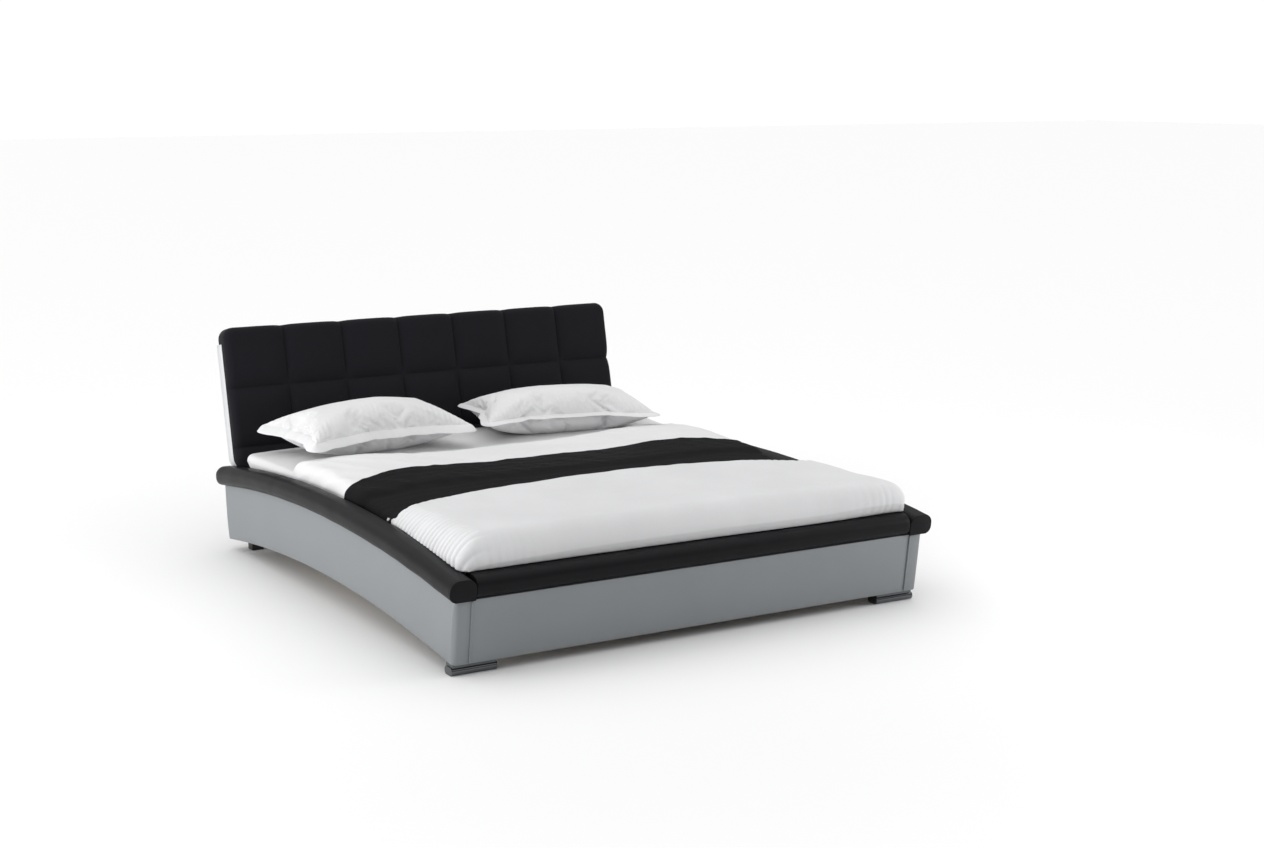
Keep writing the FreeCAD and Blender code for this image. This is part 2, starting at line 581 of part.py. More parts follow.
def centre_footprint():
    """Bring the frame's origin under the middle of the whole footprint."""
    boxes = [item.Shape.optimalBoundingBox(False) for item in PARTS]
    middle = (min(box.YMin for box in boxes) + max(box.YMax for box in boxes)) / 2
    sheet.set(sheet.getCellFromAlias("footprint_shift"), str(SIZES["footprint_shift"] + middle))
    doc.recompute()


def check_document():
    """Stop when any object has failed or any sub-part has no sound shape."""
    failed = [item.Label for item in doc.Objects if {"Invalid", "Error"} & set(item.State)]
    unsound = [item.Label for item in PARTS if item.Shape.isNull() or not item.Shape.isValid()]
    if failed or unsound:
        raise RuntimeError(f"failed: {failed}, unsound: {unsound}")


FIRST_SLAT = ("(-(mattress_length + end_allowance) / 2 + rail_thickness + mattress_foot_gap"
              " + slat_end_gap)")
LEDGE_SCREWS = 5
BRACKET_SCREWS = (0.25, 0.75)
BRACKET_REACH = 0.6
CREST_PICK = 50
LONG_EDGE = 1000
EDGE_SLACK = 1

for side_name, side_sign in SIDES.items():
    build_side(side_name, side_sign)
build_foot_panel()
build_headboard()
build_slats()
build_beam()
build_corners()
build_feet()
build_bedding()
doc.recompute()
centre_footprint()
check_document()
os.makedirs("parts", exist_ok=True)
for part in PARTS:
    part.Shape.exportStep(f"parts/{part.Label}.step")
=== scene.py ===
import json
import logging
import math
from dataclasses import dataclass, field
from enum import Enum
from typing import Any, Callable, Iterable, Sequence

import bmesh
import bpy
from mathutils import Matrix, Vector, noise


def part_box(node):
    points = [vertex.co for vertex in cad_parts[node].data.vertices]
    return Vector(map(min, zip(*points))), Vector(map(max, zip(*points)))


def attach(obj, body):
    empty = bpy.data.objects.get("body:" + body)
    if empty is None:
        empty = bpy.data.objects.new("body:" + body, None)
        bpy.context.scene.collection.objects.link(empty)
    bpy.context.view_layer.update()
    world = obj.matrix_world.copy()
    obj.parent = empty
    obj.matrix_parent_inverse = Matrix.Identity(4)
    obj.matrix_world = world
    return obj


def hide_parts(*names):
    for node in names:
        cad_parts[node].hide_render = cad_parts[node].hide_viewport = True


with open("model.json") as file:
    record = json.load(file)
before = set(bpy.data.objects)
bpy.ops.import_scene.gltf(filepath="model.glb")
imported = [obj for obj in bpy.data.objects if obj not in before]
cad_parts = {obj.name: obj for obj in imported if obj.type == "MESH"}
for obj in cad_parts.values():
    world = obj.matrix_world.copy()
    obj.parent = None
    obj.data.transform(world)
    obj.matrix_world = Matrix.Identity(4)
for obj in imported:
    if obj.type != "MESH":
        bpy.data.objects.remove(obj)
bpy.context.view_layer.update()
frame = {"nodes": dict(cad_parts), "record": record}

LOG = logging.getLogger("bed")
Mould = Callable[[Vector], Vector]
ORIGIN_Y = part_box("mattress")[0][1] + 1.0776
CLOSE = 1e-4


class Side(Enum):
    """Which side of the bed a piece belongs to, seen from the foot."""

    LEFT = -1
    RIGHT = 1

    @property
    def word(self) -> str:
        """The side's name in the frame's nodes."""
        return self.name.lower()


class Body(Enum):
    """The frame's moving groups that pieces ride on."""

    FRAME = "bed_frame"
    MATTRESS = "mattress_set"
    LEFT_PILLOW = "left_pillow_body"
    RIGHT_PILLOW = "right_pillow_body"


# ---------------------------------------------------------------- shader building


class Sock:
    """A node socket that takes part in arithmetic; each operation adds a Math node."""

    def __init__(self, shader: "Wiring", socket: bpy.types.NodeSocket) -> None:
        """Wrap an output socket of a node tree."""
        self.shader = shader
        self.socket = socket

    def maths(self, operation: str, *values: Any) -> "Sock":
        """Apply a Math operation to this value and further ones."""
        return self.shader.node("ShaderNodeMath", {"operation": operation}, dict(enumerate((self, *values))))

    def __add__(self, other: Any) -> "Sock":
        """Sum."""
        return self.maths("ADD", other)

    __radd__ = __add__

    def __sub__(self, other: Any) -> "Sock":
        """Difference."""
        return self.maths("SUBTRACT", other)

    def __rsub__(self, other: Any) -> "Sock":
        """Difference from a number."""
        return self.shader.node("ShaderNodeMath", {"operation": "SUBTRACT"}, {0: other, 1: self})

    def __mul__(self, other: Any) -> "Sock":
        """Product."""
        return self.maths("MULTIPLY", other)

    __rmul__ = __mul__

    def __pow__(self, other: Any) -> "Sock":
        """Power."""
        return self.maths("POWER", other)

    def sine(self) -> "Sock":
        """Sine of the value."""
        return self.maths("SINE")

    def part(self, axis: str) -> "Sock":
        """One component of a vector, by its letter."""
        split = self.shader.node("ShaderNodeSeparateXYZ", {}, {0: self})
        return Sock(self.shader, split.socket.node.outputs[axis])


class Wiring:
    """Adds nodes to a node tree and links them."""

    def __init__(self, tree: bpy.types.NodeTree) -> None:
        """Work on a tree."""
        self.tree = tree

    def node(self, kind: str, settings: dict[str, Any], values: dict[Any, Any], output: int = 0) -> Sock:
        """Add a node.

        Args:
            kind: the node's type.
            settings: properties set before the sockets.
            values: numbers or links by input name or index.
            output: index of the output that is returned.

        Returns:
            The wrapped output.
        """
        item = self.tree.nodes.new(kind)
        for key, value in settings.items():
            setattr(item, key, value)
        for key, value in values.items():
            if isinstance(value, Sock):
                self.tree.links.new(value.socket, item.inputs[key])
            else:
                item.inputs[key].default_value = value
        return Sock(self, item.outputs[output])

    def spread(self, value: Sock, low: float, high: float, to_low: Any, to_high: Any,
               kind: str = "LINEAR") -> Sock:
        """Map a value's range to another, clamped or eased."""
        settings = {"clamp": True} if kind == "LINEAR" else {"interpolation_type": kind}
        limits = {1: low, 2: high, 3: to_low, 4: to_high}
        return self.node("ShaderNodeMapRange", settings, {"Value": value, **limits})


class Shader(Wiring):
    """Builds one procedural material around a Principled shader."""

    def __init__(self, name: str) -> None:
        """Start a material whose patterns follow the object's own coordinates."""
        self.material = bpy.data.materials.new(name)
        self.material.use_nodes = True
        super().__init__(self.material.node_tree)
        self.surface = self.tree.nodes["Principled BSDF"]
        coordinates = self.tree.nodes.new("ShaderNodeTexCoord")
        self.place = Sock(self, coordinates.outputs["Object"])

    def fixed(self, **values: Any) -> "Shader":
        """Set the surface's own sockets, named with underscores for spaces."""
        for key, value in values.items():
            self.surface.inputs[key.replace("_", " ")].default_value = value
        return self

    def feed(self, name: str, value: Sock) -> "Shader":
        """Link a varying value to one of the surface's sockets."""
        self.tree.links.new(value.socket, self.surface.inputs[name])
        return self

    def clouds(self, scale: float, detail: float = 3.0, roughness: float = 0.5,
               stretch: Sequence[float] = (1, 1, 1)) -> Sock:
        """Soft noise around 0.5, in cells of 1 / scale metres."""
        place = self.node("ShaderNodeMapping", {}, {"Vector": self.place, "Scale": tuple(stretch)})
        return self.node("ShaderNodeTexNoise", {},
                         {"Vector": place, "Scale": scale, "Detail": detail, "Roughness": roughness})

    def cells(self, scale: float, feature: str = "F1") -> Sock:
        """Distance to the nearest of scattered points, as hide has in its pores."""
        return self.node("ShaderNodeTexVoronoi", {"feature": feature}, {"Vector": self.place, "Scale": scale})

    def blend(self, factor: Any, first: Sequence[float], second: Sequence[float]) -> Sock:
        """Mix two colours."""
        colours = [(*colour, 1.0) for colour in (first, second)]
        return self.node("ShaderNodeMix", {"data_type": "RGBA"}, {0: factor, 6: colours[0], 7: colours[1]}, 2)

    def bump(self, height: Sock, distance: float, strength: float = 1.0) -> "Shader":
        """Raise the surface by a height pattern, in metres."""
        values = {"Height": height, "Distance": distance, "Strength": strength}
        normal = self.node("ShaderNodeBump", {}, values)
        return self.feed("Normal", normal)


def tint(colour: Sequence[float], factor: float) -> tuple[float, float, float]:
    """A colour made lighter or darker."""
    return tuple(min(1.0, channel * factor) for channel in colour)


# ---------------------------------------------------------------- finishes


@dataclass(frozen=True)
class Hide:
    """Leatherette: pressed pores under a soft coat."""

    name: str
    colour: tuple[float, float, float]
    roughness: float
    metallic: float = 0.0
    pore: float = 0.0014
    depth: float = 0.00012
    coat: float = 0.0
    shine: float = 0.5

    def material(self) -> bpy.types.Material:
        """Build the finish."""
        shader = Shader(self.name).fixed(Metallic=self.metallic, Coat_Weight=self.coat, Coat_Roughness=0.35,
                                         Specular_IOR_Level=self.shine)
        pores = shader.cells(1 / self.pore)
        fine = shader.clouds(420.0, 4.0, 0.6)
        broad = shader.clouds(5.0, 3.0)
        shader.feed("Base Color", shader.blend(shader.spread(broad, 0.35, 0.65, 0, 1),
                                               tint(self.colour, 0.98), tint(self.colour, 1.02)))
        shader.feed("Roughness", shader.spread(pores + broad * 0.6, 0.2, 1.2,
                                               self.roughness - 0.04, self.roughness + 0.07))
        shader.bump(shader.spread(pores, 0.0, 0.7, 0.0, 1.0) + fine * 0.35, self.depth)
        return shader.material


@dataclass(frozen=True)
class Cloth:
    """Woven cloth: crossing threads, with slight unevenness in tone."""

    name: str
    colour: tuple[float, float, float]
    thread: float = 0.0009
    depth: float = 0.0001
    roughness: float = 0.85
    sheen: float = 0.15
    crease: float = 0.0008
    shine: float = 0.3

    def material(self) -> bpy.types.Material:
        """Build the finish."""
        shader = Shader(self.name).fixed(Sheen_Weight=self.sheen, Sheen_Roughness=0.45,
                                         Specular_IOR_Level=self.shine)
        turn = 2 * math.pi / self.thread
        warp = (shader.place.part("X") * turn).sine()
        weft = (shader.place.part("Y") * turn).sine() + (shader.place.part("Z") * turn).sine()
        weave = warp * weft
        slub = shader.clouds(260.0, 3.0, 0.6, (1, 0.25, 1))
        broad = shader.clouds(3.0, 4.0)
        creases = shader.clouds(9.0, 5.0, 0.55, (1, 2.2, 1))
        shader.feed("Base Color", shader.blend(shader.spread(broad * 0.7 + slub * 0.3, 0.35, 0.65, 0, 1),
                                               tint(self.colour, 0.955), tint(self.colour, 1.03)))
        shader.feed("Roughness", shader.spread(slub, 0.3, 0.7, self.roughness - 0.05, self.roughness + 0.05))
        height = weave * (self.depth / self.crease * 0.25) + slub * (self.depth / self.crease) + creases
        shader.bump(height, self.crease)
        return shader.material


@dataclass(frozen=True)
class Metal:
    """Metal: bare, plated or powder coated."""

    name: str
    colour: tuple[float, float, float]
    roughness: float
    metallic: float = 1.0
    grain: float = 0.00002

    def material(self) -> bpy.types.Material:
        """Build the finish."""
        shader = Shader(self.name).fixed(Metallic=self.metallic)
        smears = shader.clouds(14.0, 5.0, 0.6)
        fine = shader.clouds(900.0, 3.0, 0.6)
        shader.feed("Base Color", shader.blend(smears, tint(self.colour, 0.93), tint(self.colour, 1.05)))
        shader.feed("Roughness", shader.spread(smears, 0.3, 0.7, self.roughness * 0.8, self.roughness * 1.25))
        shader.bump(fine, self.grain)
        return shader.material


@dataclass(frozen=True)
class Timber:
    """Wood with its grain along one axis."""

    name: str
    light: tuple[float, float, float]
    dark: tuple[float, float, float]
    along: str = "X"
    roughness: float = 0.55

    def material(self) -> bpy.types.Material:
        """Build the finish."""
        shader = Shader(self.name)
        stretch = tuple(1.0 if axis == self.along else 14.0 for axis in "XYZ")
        rings = shader.clouds(3.0, 5.0, 0.6, stretch)
        pores = shader.clouds(60.0, 3.0, 0.7, tuple(1.0 if axis == self.along else 20.0 for axis in "XYZ"))
        shader.feed("Base Color", shader.blend(shader.spread(rings * 0.8 + pores * 0.2, 0.35, 0.65, 0, 1),
                                               self.dark, self.light))
        shader.feed("Roughness", shader.spread(pores, 0.3, 0.7, self.roughness - 0.08, self.roughness + 0.08))
        shader.bump(pores + rings * 0.5, 0.0002)
        return shader.material


@dataclass(frozen=True)
class Plastic:
    """Moulded plastic or rubber with a spark-eroded skin."""

    name: str
    colour: tuple[float, float, float]
    roughness: float = 0.5

    def material(self) -> bpy.types.Material:
        """Build the finish."""
        shader = Shader(self.name)
        skin = shader.clouds(1500.0, 2.0, 0.7)
        wear = shader.clouds(20.0, 4.0, 0.6)
        shader.feed("Base Color", shader.blend(wear, tint(self.colour, 0.8), tint(self.colour, 1.3)))
        shader.feed("Roughness", shader.spread(wear, 0.3, 0.7, self.roughness - 0.06, self.roughness + 0.1))
        shader.bump(skin, 0.00004)
        return shader.material


class Finishes:
    """Every finish of the bed, made once."""

    SILVER = Hide("silver_hide", (0.215, 0.229, 0.238), 0.42, metallic=0.3, pore=0.0011, depth=0.00006,
                  coat=0.1)
    BLACK_HIDE = Hide("black_hide", (0.0062, 0.0062, 0.0074), 0.36, shine=0.11)
    BLACK_CLOTH = Cloth("black_cloth", (0.0108, 0.0104, 0.0135), thread=0.0013, depth=0.00014, sheen=0.04,
                        crease=0.0004, shine=0.12)
    LINEN = Cloth("linen", (0.72, 0.72, 0.727))
    # Painted shade: the fitted sheet's linen is a darker copy of the sheets' linen, standing in for the shade
    # it lies in.
    SHADED_FITTED = Cloth("shaded_fitted_linen", (0.69, 0.69, 0.695))
    # Painted shade: the duvet's linen is a darker copy of the sheets' linen, standing in for the shade on the
    # duvet.
    DUVET = Cloth("shaded_duvet_linen", (0.645, 0.647, 0.655))
    PALE_HIDE = Hide("pale_hide", (0.60, 0.61, 0.62), 0.45, pore=0.0011, depth=0.00006)
    THROW = Cloth("throw", (0.0065, 0.0065, 0.0075), roughness=0.6, sheen=0.0, shine=0.05)
    TICKING = Cloth("ticking", (0.72, 0.71, 0.68), thread=0.0016, depth=0.0002)
    CHROME = Metal("chrome", (0.13, 0.137, 0.143), 0.09)
    ZINC = Metal("zinc", (0.55, 0.56, 0.57), 0.32)
    BLACK_STEEL = Metal("black_steel", (0.022, 0.022, 0.024), 0.45, metallic=0.0, grain=0.00006)
    RUBBER = Plastic("black_plastic", (0.014, 0.014, 0.015))
    BOARD = Timber("board", (0.56, 0.42, 0.27), (0.40, 0.28, 0.16))
    RAIL_BOARD = Timber("rail_board", (0.56, 0.42, 0.27), (0.40, 0.28, 0.16), along="Y")
    BIRCH = Timber("birch", (0.76, 0.62, 0.43), (0.62, 0.46, 0.28), roughness=0.42)

    def __init__(self) -> None:
        """Keep the materials that have been made."""
        self.made: dict[str, bpy.types.Material] = {}

    def get(self, finish: Any) -> bpy.types.Material:
        """The material of a finish, built on first use."""
        if finish.name not in self.made:
            self.made[finish.name] = finish.material()
        return self.made[finish.name]

    def paint(self, item: bpy.types.Object, finish: Any) -> None:
        """Give an object a finish in place of what it had."""
        item.data.materials.clear()
        item.data.materials.append(self.get(finish))

    def dress(self, item: bpy.types.Object, finish: Any, body: Body, slot: str,
              *nodes: str) -> bpy.types.Object:
        """Give a piece its finish and its place in the frame.

        Args:
            item: the piece.
            finish: what covers it.
            body: the moving group that it rides on.
            slot: the material slot that it stands for; not used.
            nodes: the nodes that it replaces, if any.

        Returns:
            The same piece.
        """
        self.paint(item, finish)
        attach(item, body.value)
        if nodes:
            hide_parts(*nodes)
        LOG.info("piece %s", item.name)
        return item


# ---------------------------------------------------------------- mesh helpers


def piece_of(name: str, shape: bmesh.types.BMesh, smooth: bool = True) -> bpy.types.Object:
    """Turn a bmesh into an object at the origin and free the bmesh."""
    mesh = bpy.data.meshes.new(name)
    bmesh.ops.recalc_face_normals(shape, faces=shape.faces)
    shape.to_mesh(mesh)
    shape.free()
    if smooth:
        mesh.shade_smooth()
    item = bpy.data.objects.new(name, mesh)
    bpy.context.scene.collection.objects.link(item)
    return item


def add_modifier(item: bpy.types.Object, kind: str, **settings: Any) -> bpy.types.Modifier:
    """Add a modifier with its settings."""
    modifier = item.modifiers.new(kind.lower(), kind)
    for key, value in settings.items():
        setattr(modifier, key, value)
    return modifier


def bake_modifiers(item: bpy.types.Object) -> None:
    """Replace an object's mesh with what its modifiers make of it."""
    graph = bpy.context.evaluated_depsgraph_get()
    mesh = bpy.data.meshes.new_from_object(item.evaluated_get(graph))
    item.modifiers.clear()
    item.data = mesh


def mould(item: bpy.types.Object, shape: Mould) -> None:
    """Move every vertex of an object by a formula."""
    for vertex in item.data.vertices:
        vertex.co = shape(vertex.co.copy())
    item.data.update()


def rounded_block(name: str, low: Sequence[float], high: Sequence[float], corner: float, edge: float,
                  rounds: int) -> bpy.types.Object:
    """A block with rounded upright corners and rounded rims.

    Args:
        name: the object's name.
        low: lowest corner.
        high: highest corner.
        corner: radius of the upright corners.
        edge: radius of the top and bottom rims.
        rounds: steps in each rounding.

    Returns:
        The new object.
    """
    shape = block(low, high)
    upright = [e for e in shape.edges if abs(e.verts[0].co.z - e.verts[1].co.z) > (high[2] - low[2]) / 2]
    bevel(shape, upright, corner, rounds)
    rims = [e for e in shape.edges if abs(e.verts[0].co.z - e.verts[1].co.z) < 1e-6
            and len(e.link_faces) == 2 and abs(e.link_faces[0].normal.z - e.link_faces[1].normal.z) > 0.5]
    bevel(shape, rims, edge, rounds)
    return piece_of(name, shape)


def bevel(shape: bmesh.types.BMesh, geometry: Iterable[Any], offset: float, segments: int) -> None:
    """Bevel edges with a round profile."""
    bmesh.ops.bevel(shape, geom=list(geometry), offset=offset, offset_type="OFFSET", segments=segments,
                    profile=0.5, affect="EDGES", clamp_overlap=True, material=-1)


def fabric_noise(at: Vector, cell: float, seed: float = 0.0) -> float:
    """Smooth noise from -1 to 1 in cells of a given size."""
    return noise.noise(Vector((at.x / cell + seed, at.y / cell - seed, at.z / cell + 2 * seed)))


def smoothstep(low: float, high: float, value: float) -> float:
    """Ease from 0 at low to 1 at high."""
    share = min(1.0, max(0.0, (value - low) / (high - low)))
    return share * share * (3 - 2 * share)


def slice_up(shape: bmesh.types.BMesh, axis: str, places: Iterable[float]) -> None:
    """Cut a mesh by planes across one axis, so that it can bend there."""
    normal = tuple(1.0 if letter == axis else 0.0 for letter in "xyz")
    for place in places:
        bmesh.ops.bisect_plane(shape, geom=shape.verts[:] + shape.edges[:] + shape.faces[:],
                               plane_co=tuple(place * part for part in normal), plane_no=normal, dist=1e-6)


def steps(low: float, high: float, size: float) -> list[float]:
    """Even places between two ends, without the ends."""
    count = max(2, round((high - low) / size))
    return [low + (high - low) * index / count for index in range(1, count)]


def block(low: Sequence[float], high: Sequence[float]) -> bmesh.types.BMesh:
    """A plain block from its lowest to its highest corner."""
    shape = bmesh.new()
    bmesh.ops.create_cube(shape, size=1.0)
    bmesh.ops.scale(shape, vec=[b - a for a, b in zip(low, high)], verts=shape.verts)
    bmesh.ops.translate(shape, vec=[(a + b) / 2 for a, b in zip(low, high)], verts=shape.verts)
    return shape


def edges_at(shape: bmesh.types.BMesh, test: Callable[[Vector], bool]) -> list[bmesh.types.BMEdge]:
    """Edges whose middle passes a test."""
    return [edge for edge in shape.edges if test((edge.verts[0].co + edge.verts[1].co) / 2)]


def sharp_edges(shape: bmesh.types.BMesh) -> list[bmesh.types.BMEdge]:
    """Edges where two faces meet at a clear angle."""
    shape.normal_update()
    return [edge for edge in shape.edges if len(edge.link_faces) == 2 and edge.calc_face_angle() > 0.9]


def grid_piece(name: str, across: int, along: int, place: Callable[[float, float], Vector],
               thickness: float = 0.0) -> bpy.types.Object:
    """A sheet of faces laid out by a formula of two shares from 0 to 1.

    Args:
        name: the object's name.
        across: faces in the first direction.
        along: faces in the second direction.
        place: the point for a pair of shares.
        thickness: how thick the sheet becomes, inwards.

    Returns:
        The new object.
    """
    shape = bmesh.new()
    rows = [[shape.verts.new(place(i / across, j / along)) for i in range(across + 1)]
            for j in range(along + 1)]
    for low, high in zip(rows, rows[1:]):
        for i in range(across):
            shape.faces.new((low[i], low[i + 1], high[i + 1], high[i]))
    item = piece_of(name, shape)
    if thickness:
        add_modifier(item, "SOLIDIFY", thickness=thickness, offset=0.0, use_even_offset=True)
        bake_modifiers(item)
    return item


def closed_pair(name: str, across: int, along: int,
                place: Callable[[float, float, int], Vector]) -> bpy.types.Object:
    """A closed padded piece from an upper and a lower face that meet at the rim.

    Args:
        name: the object's name.
        across: faces across.
        along: faces along.
        place: the point for two shares, on the upper face (1) or the lower (-1).

    Returns:
        The new object, whose upper face's points come first, row by row.
    """
    shape = bmesh.new()
    made: dict[tuple[int, int, int], bmesh.types.BMVert] = {}
    for face in (1, -1):
        for j in range(along + 1):
            for i in range(across + 1):
                rim = i in (0, across) or j in (0, along)
                if face < 0 and rim:
                    made[i, j, face] = made[i, j, 1]
                else:
                    made[i, j, face] = shape.verts.new(place(i / across, j / along, face))
        for j in range(along):
            for i in range(across):
                corners = ((i, j), (i + 1, j), (i + 1, j + 1), (i, j + 1))
                loop = [made[column, row, face] for column, row in corners]
                shape.faces.new(loop if face > 0 else loop[::-1])
    return piece_of(name, shape)


# ---------------------------------------------------------------- the frame's own lines


@dataclass(frozen=True)
class Arch:
    """The arc that the side rails follow: bent round a level axis under the floor."""

    centre_y: float
    centre_z: float
    radius: float
    half_sweep: float
    depth: float

    RISE = 0.076
    HALF_CHORD = 1.1

    @classmethod
    def from_frame(cls) -> "Arch":
        """Work the arc out from the side rail's box."""
        low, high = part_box("left_rail_cover")
        radius = (cls.HALF_CHORD ** 2 + cls.RISE ** 2) / (2 * cls.RISE)
        half_sweep = math.asin(cls.HALF_CHORD / radius)
        centre_z = low[2] - radius * math.cos(half_sweep)
        return cls((low[1] + high[1]) / 2, centre_z, radius, half_sweep, high[2] - centre_z - radius)

    @property
    def half_length(self) -> float:
        """Half the length of the arc along its lower face."""
        return self.radius * self.half_sweep

    def bend(self, at: Vector) -> Vector:
        """Bend a straight piece: x stays, y is the length along the arc, z the height over it."""
        angle = at.y / self.radius
        reach = self.radius + at.z
        return Vector((at.x, self.centre_y + reach * math.sin(angle),
                       self.centre_z + reach * math.cos(angle)))

    def foot_end(self, at: Vector) -> Vector:
        """Stand a piece on the foot end plane: y points into the bed, z up along the end."""
        sine, cosine = math.sin(self.half_sweep), math.cos(self.half_sweep)
        reach = self.radius + at.z
        return Vector((at.x, self.centre_y - reach * sine + at.y * cosine,
                       self.centre_z + reach * cosine + at.y * sine))


@dataclass(frozen=True)
class Lean:
    """The leaning plane of the headboard: z runs up its front face, y to its back."""

    pivot_y: float
    top: float

    ANGLE = math.radians(12)
    PAD_FOOT = 0.196

    @classmethod
    def from_frame(cls) -> "Lean":
        """Work the plane out from the pad's box."""
        low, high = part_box("headboard_pad")
        return cls(low[1] - cls.PAD_FOOT * math.sin(cls.ANGLE), high[2] / math.cos(cls.ANGLE))

    def stand(self, at: Vector) -> Vector:
        """Put a point of the upright drawing on the leaning plane."""
        sine, cosine = math.sin(self.ANGLE), math.cos(self.ANGLE)
        return Vector((at.x, self.pivot_y + at.y * cosine + at.z * sine, at.z * cosine - at.y * sine))


# ---------------------------------------------------------------- sub-assemblies


@dataclass
class Rails:
    """Side rails and foot panel: silver covers, black rolls and the welts between them."""

    arch: Arch
    finishes: Finishes
    roll_inner: float = field(default_factory=lambda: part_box("right_rail_roll")[0][0])
    roll_width: float = field(default_factory=lambda: float(
        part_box("right_rail_roll")[1][0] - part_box("right_rail_roll")[0][0]))
    roll_crest: float = 0.0385
    roll_base: float = 0.030
    roll_height: float = 0.080
    overhang: float = 0.012
    cover_corner: float = 0.0195
    cover_edge: float = 0.0018
    cover_lap: float = 0.0012
    puff: float = 0.0025
    seat_gap: float = 0.0003
    inner_round: float = 0.008
    end_round: float = 0.006
    cover_step: float = 0.03
    cover_rise: float = 0.022
    roll_step: float = 0.022

    def finish_piece(self, item: bpy.types.Object, finish: Any, *nodes: str) -> bpy.types.Object:
        """Dress a piece and tie it to the bed frame."""
        return self.finishes.dress(item, finish, Body.FRAME, finish.name, *nodes)

    def roll_heights(self) -> tuple[float, float]:
        """The rolls' lowest and highest levels over the rails' lower faces."""
        return self.arch.depth + self.seat_gap, self.arch.depth + self.roll_height

    def side_cover(self, side: Side) -> None:
        """A side rail's leatherette sleeve."""
        low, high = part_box(f"{side.word}_rail_cover")
        reach = self.arch.half_length
        outer = high[0] if side is Side.RIGHT else low[0]
        shape = block((low[0], -reach, 0), (high[0], reach, self.arch.depth))
        bevel(shape, edges_at(shape, lambda at: abs(at.x - outer) < CLOSE and abs(abs(at.y) - reach) < CLOSE
                              and 0.01 < at.z < self.arch.depth - 0.01), self.cover_corner, 8)
        bevel(shape, sharp_edges(shape), self.cover_edge, 3)
        slice_up(shape, "y", steps(-reach, reach, self.cover_step))
        slice_up(shape, "z", steps(0, self.arch.depth, self.cover_rise))
        item = piece_of(f"{side.word}_side_cover", shape)

        def shaped(at: Vector) -> Vector:
            """Puff the hide out and bend it along the arch."""
            swell = math.sin(math.pi * min(1, max(0, at.z / self.arch.depth))) ** 0.6 * self.puff
            if abs(at.x - outer) < 0.001:
                at.x += side.value * (swell + 0.0007 * fabric_noise(at, 0.16))
            elif at.y < 0.004 - reach:
                at.y -= swell * 0.6
            return self.arch.bend(at)

        mould(item, shaped)
        self.finish_piece(item, Finishes.SILVER, f"{side.word}_rail_cover")

    def side_roll(self, side: Side) -> None:
        """A side rail's padded roll."""
        low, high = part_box(f"{side.word}_rail_roll")
        reach = self.arch.half_length + self.overhang
        base, crest = self.roll_heights()
        shape = block((low[0], -reach, base), (high[0], reach, crest))
        outer = high[0] if side is Side.RIGHT else low[0]
        self.round_roll(shape, lambda at: abs(at.y) < 0.1, lambda at: abs(at.x - outer) < CLOSE)
        slice_up(shape, "y", steps(-reach, reach, self.roll_step))
        item = piece_of(f"{side.word}_padded_roll", shape)
        middle = Vector(((low[0] + high[0]) / 2, 0, (base + crest) / 2))

        def shaped(at: Vector) -> Vector:
            """Ripple the hide and bend it along the arch."""
            return self.arch.bend(self.ripple(at, (at - middle) * Vector((1, 0, 1)), 3))

        mould(item, shaped)
        self.finish_piece(item, Finishes.BLACK_HIDE, f"{side.word}_rail_roll")

    @staticmethod
    def ripple(at: Vector, out: Vector, seed: float) -> Vector:
        """Let a roll's hide lie a little unevenly over its padding."""
        uneven = 0.0011 * fabric_noise(at, 0.10, seed) + 0.0005 * fabric_noise(at, 0.03, seed + 5) - 0.0006
        return at + out.normalized() * uneven

    def round_roll(self, shape: bmesh.types.BMesh, lengthwise: Callable[[Vector], bool],
                   outside: Callable[[Vector], bool]) -> None:
        """Round a roll's long edges and then its ends.

        Args:
            shape: the straight roll.
            lengthwise: whether an edge with that middle runs along the roll.
            outside: whether it lies on the roll's outer face.
        """
        base, crest = self.roll_heights()

        def long_edges(level: float, test: Callable[[Vector], bool]) -> list[bmesh.types.BMEdge]:
            """Edges along the roll at one level that pass a test."""
            return edges_at(shape, lambda at: abs(at.z - level) < CLOSE and lengthwise(at) and test(at))

        bevel(shape, long_edges(crest, lambda at: True), self.roll_crest, 10)
        bevel(shape, long_edges(base, outside), self.roll_base, 8)
        bevel(shape, long_edges(base, lambda at: not outside(at)), self.inner_round, 3)
        bevel(shape, sharp_edges(shape), self.end_round, 4)

    def foot_cover(self) -> None:
        """The foot panel's leatherette sleeve."""
        low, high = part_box("foot_panel_cover")
        shape = block((low[0], 0, 0), (high[0], 0.06, self.arch.depth + self.cover_lap))
        bevel(shape, sharp_edges(shape), self.cover_edge, 3)
        slice_up(shape, "x", steps(low[0], high[0], self.cover_step))
        slice_up(shape, "z", steps(0, self.arch.depth, self.cover_rise))
        item = piece_of("foot_cover", shape)

        def shaped(at: Vector) -> Vector:
            """Puff the hide out and stand it on the foot end."""
            if at.y < 0.001:
                across = math.sin(math.pi * min(1, max(0, (at.x - low[0]) / (high[0] - low[0])))) ** 0.25
                rise = math.sin(math.pi * min(1, max(0, at.z / self.arch.depth))) ** 0.6
                at.y -= rise * across * self.puff + 0.0007 * fabric_noise(at, 0.2, 5)
            return self.arch.foot_end(at)

        mould(item, shaped)
        self.finish_piece(item, Finishes.SILVER, "foot_panel_cover")

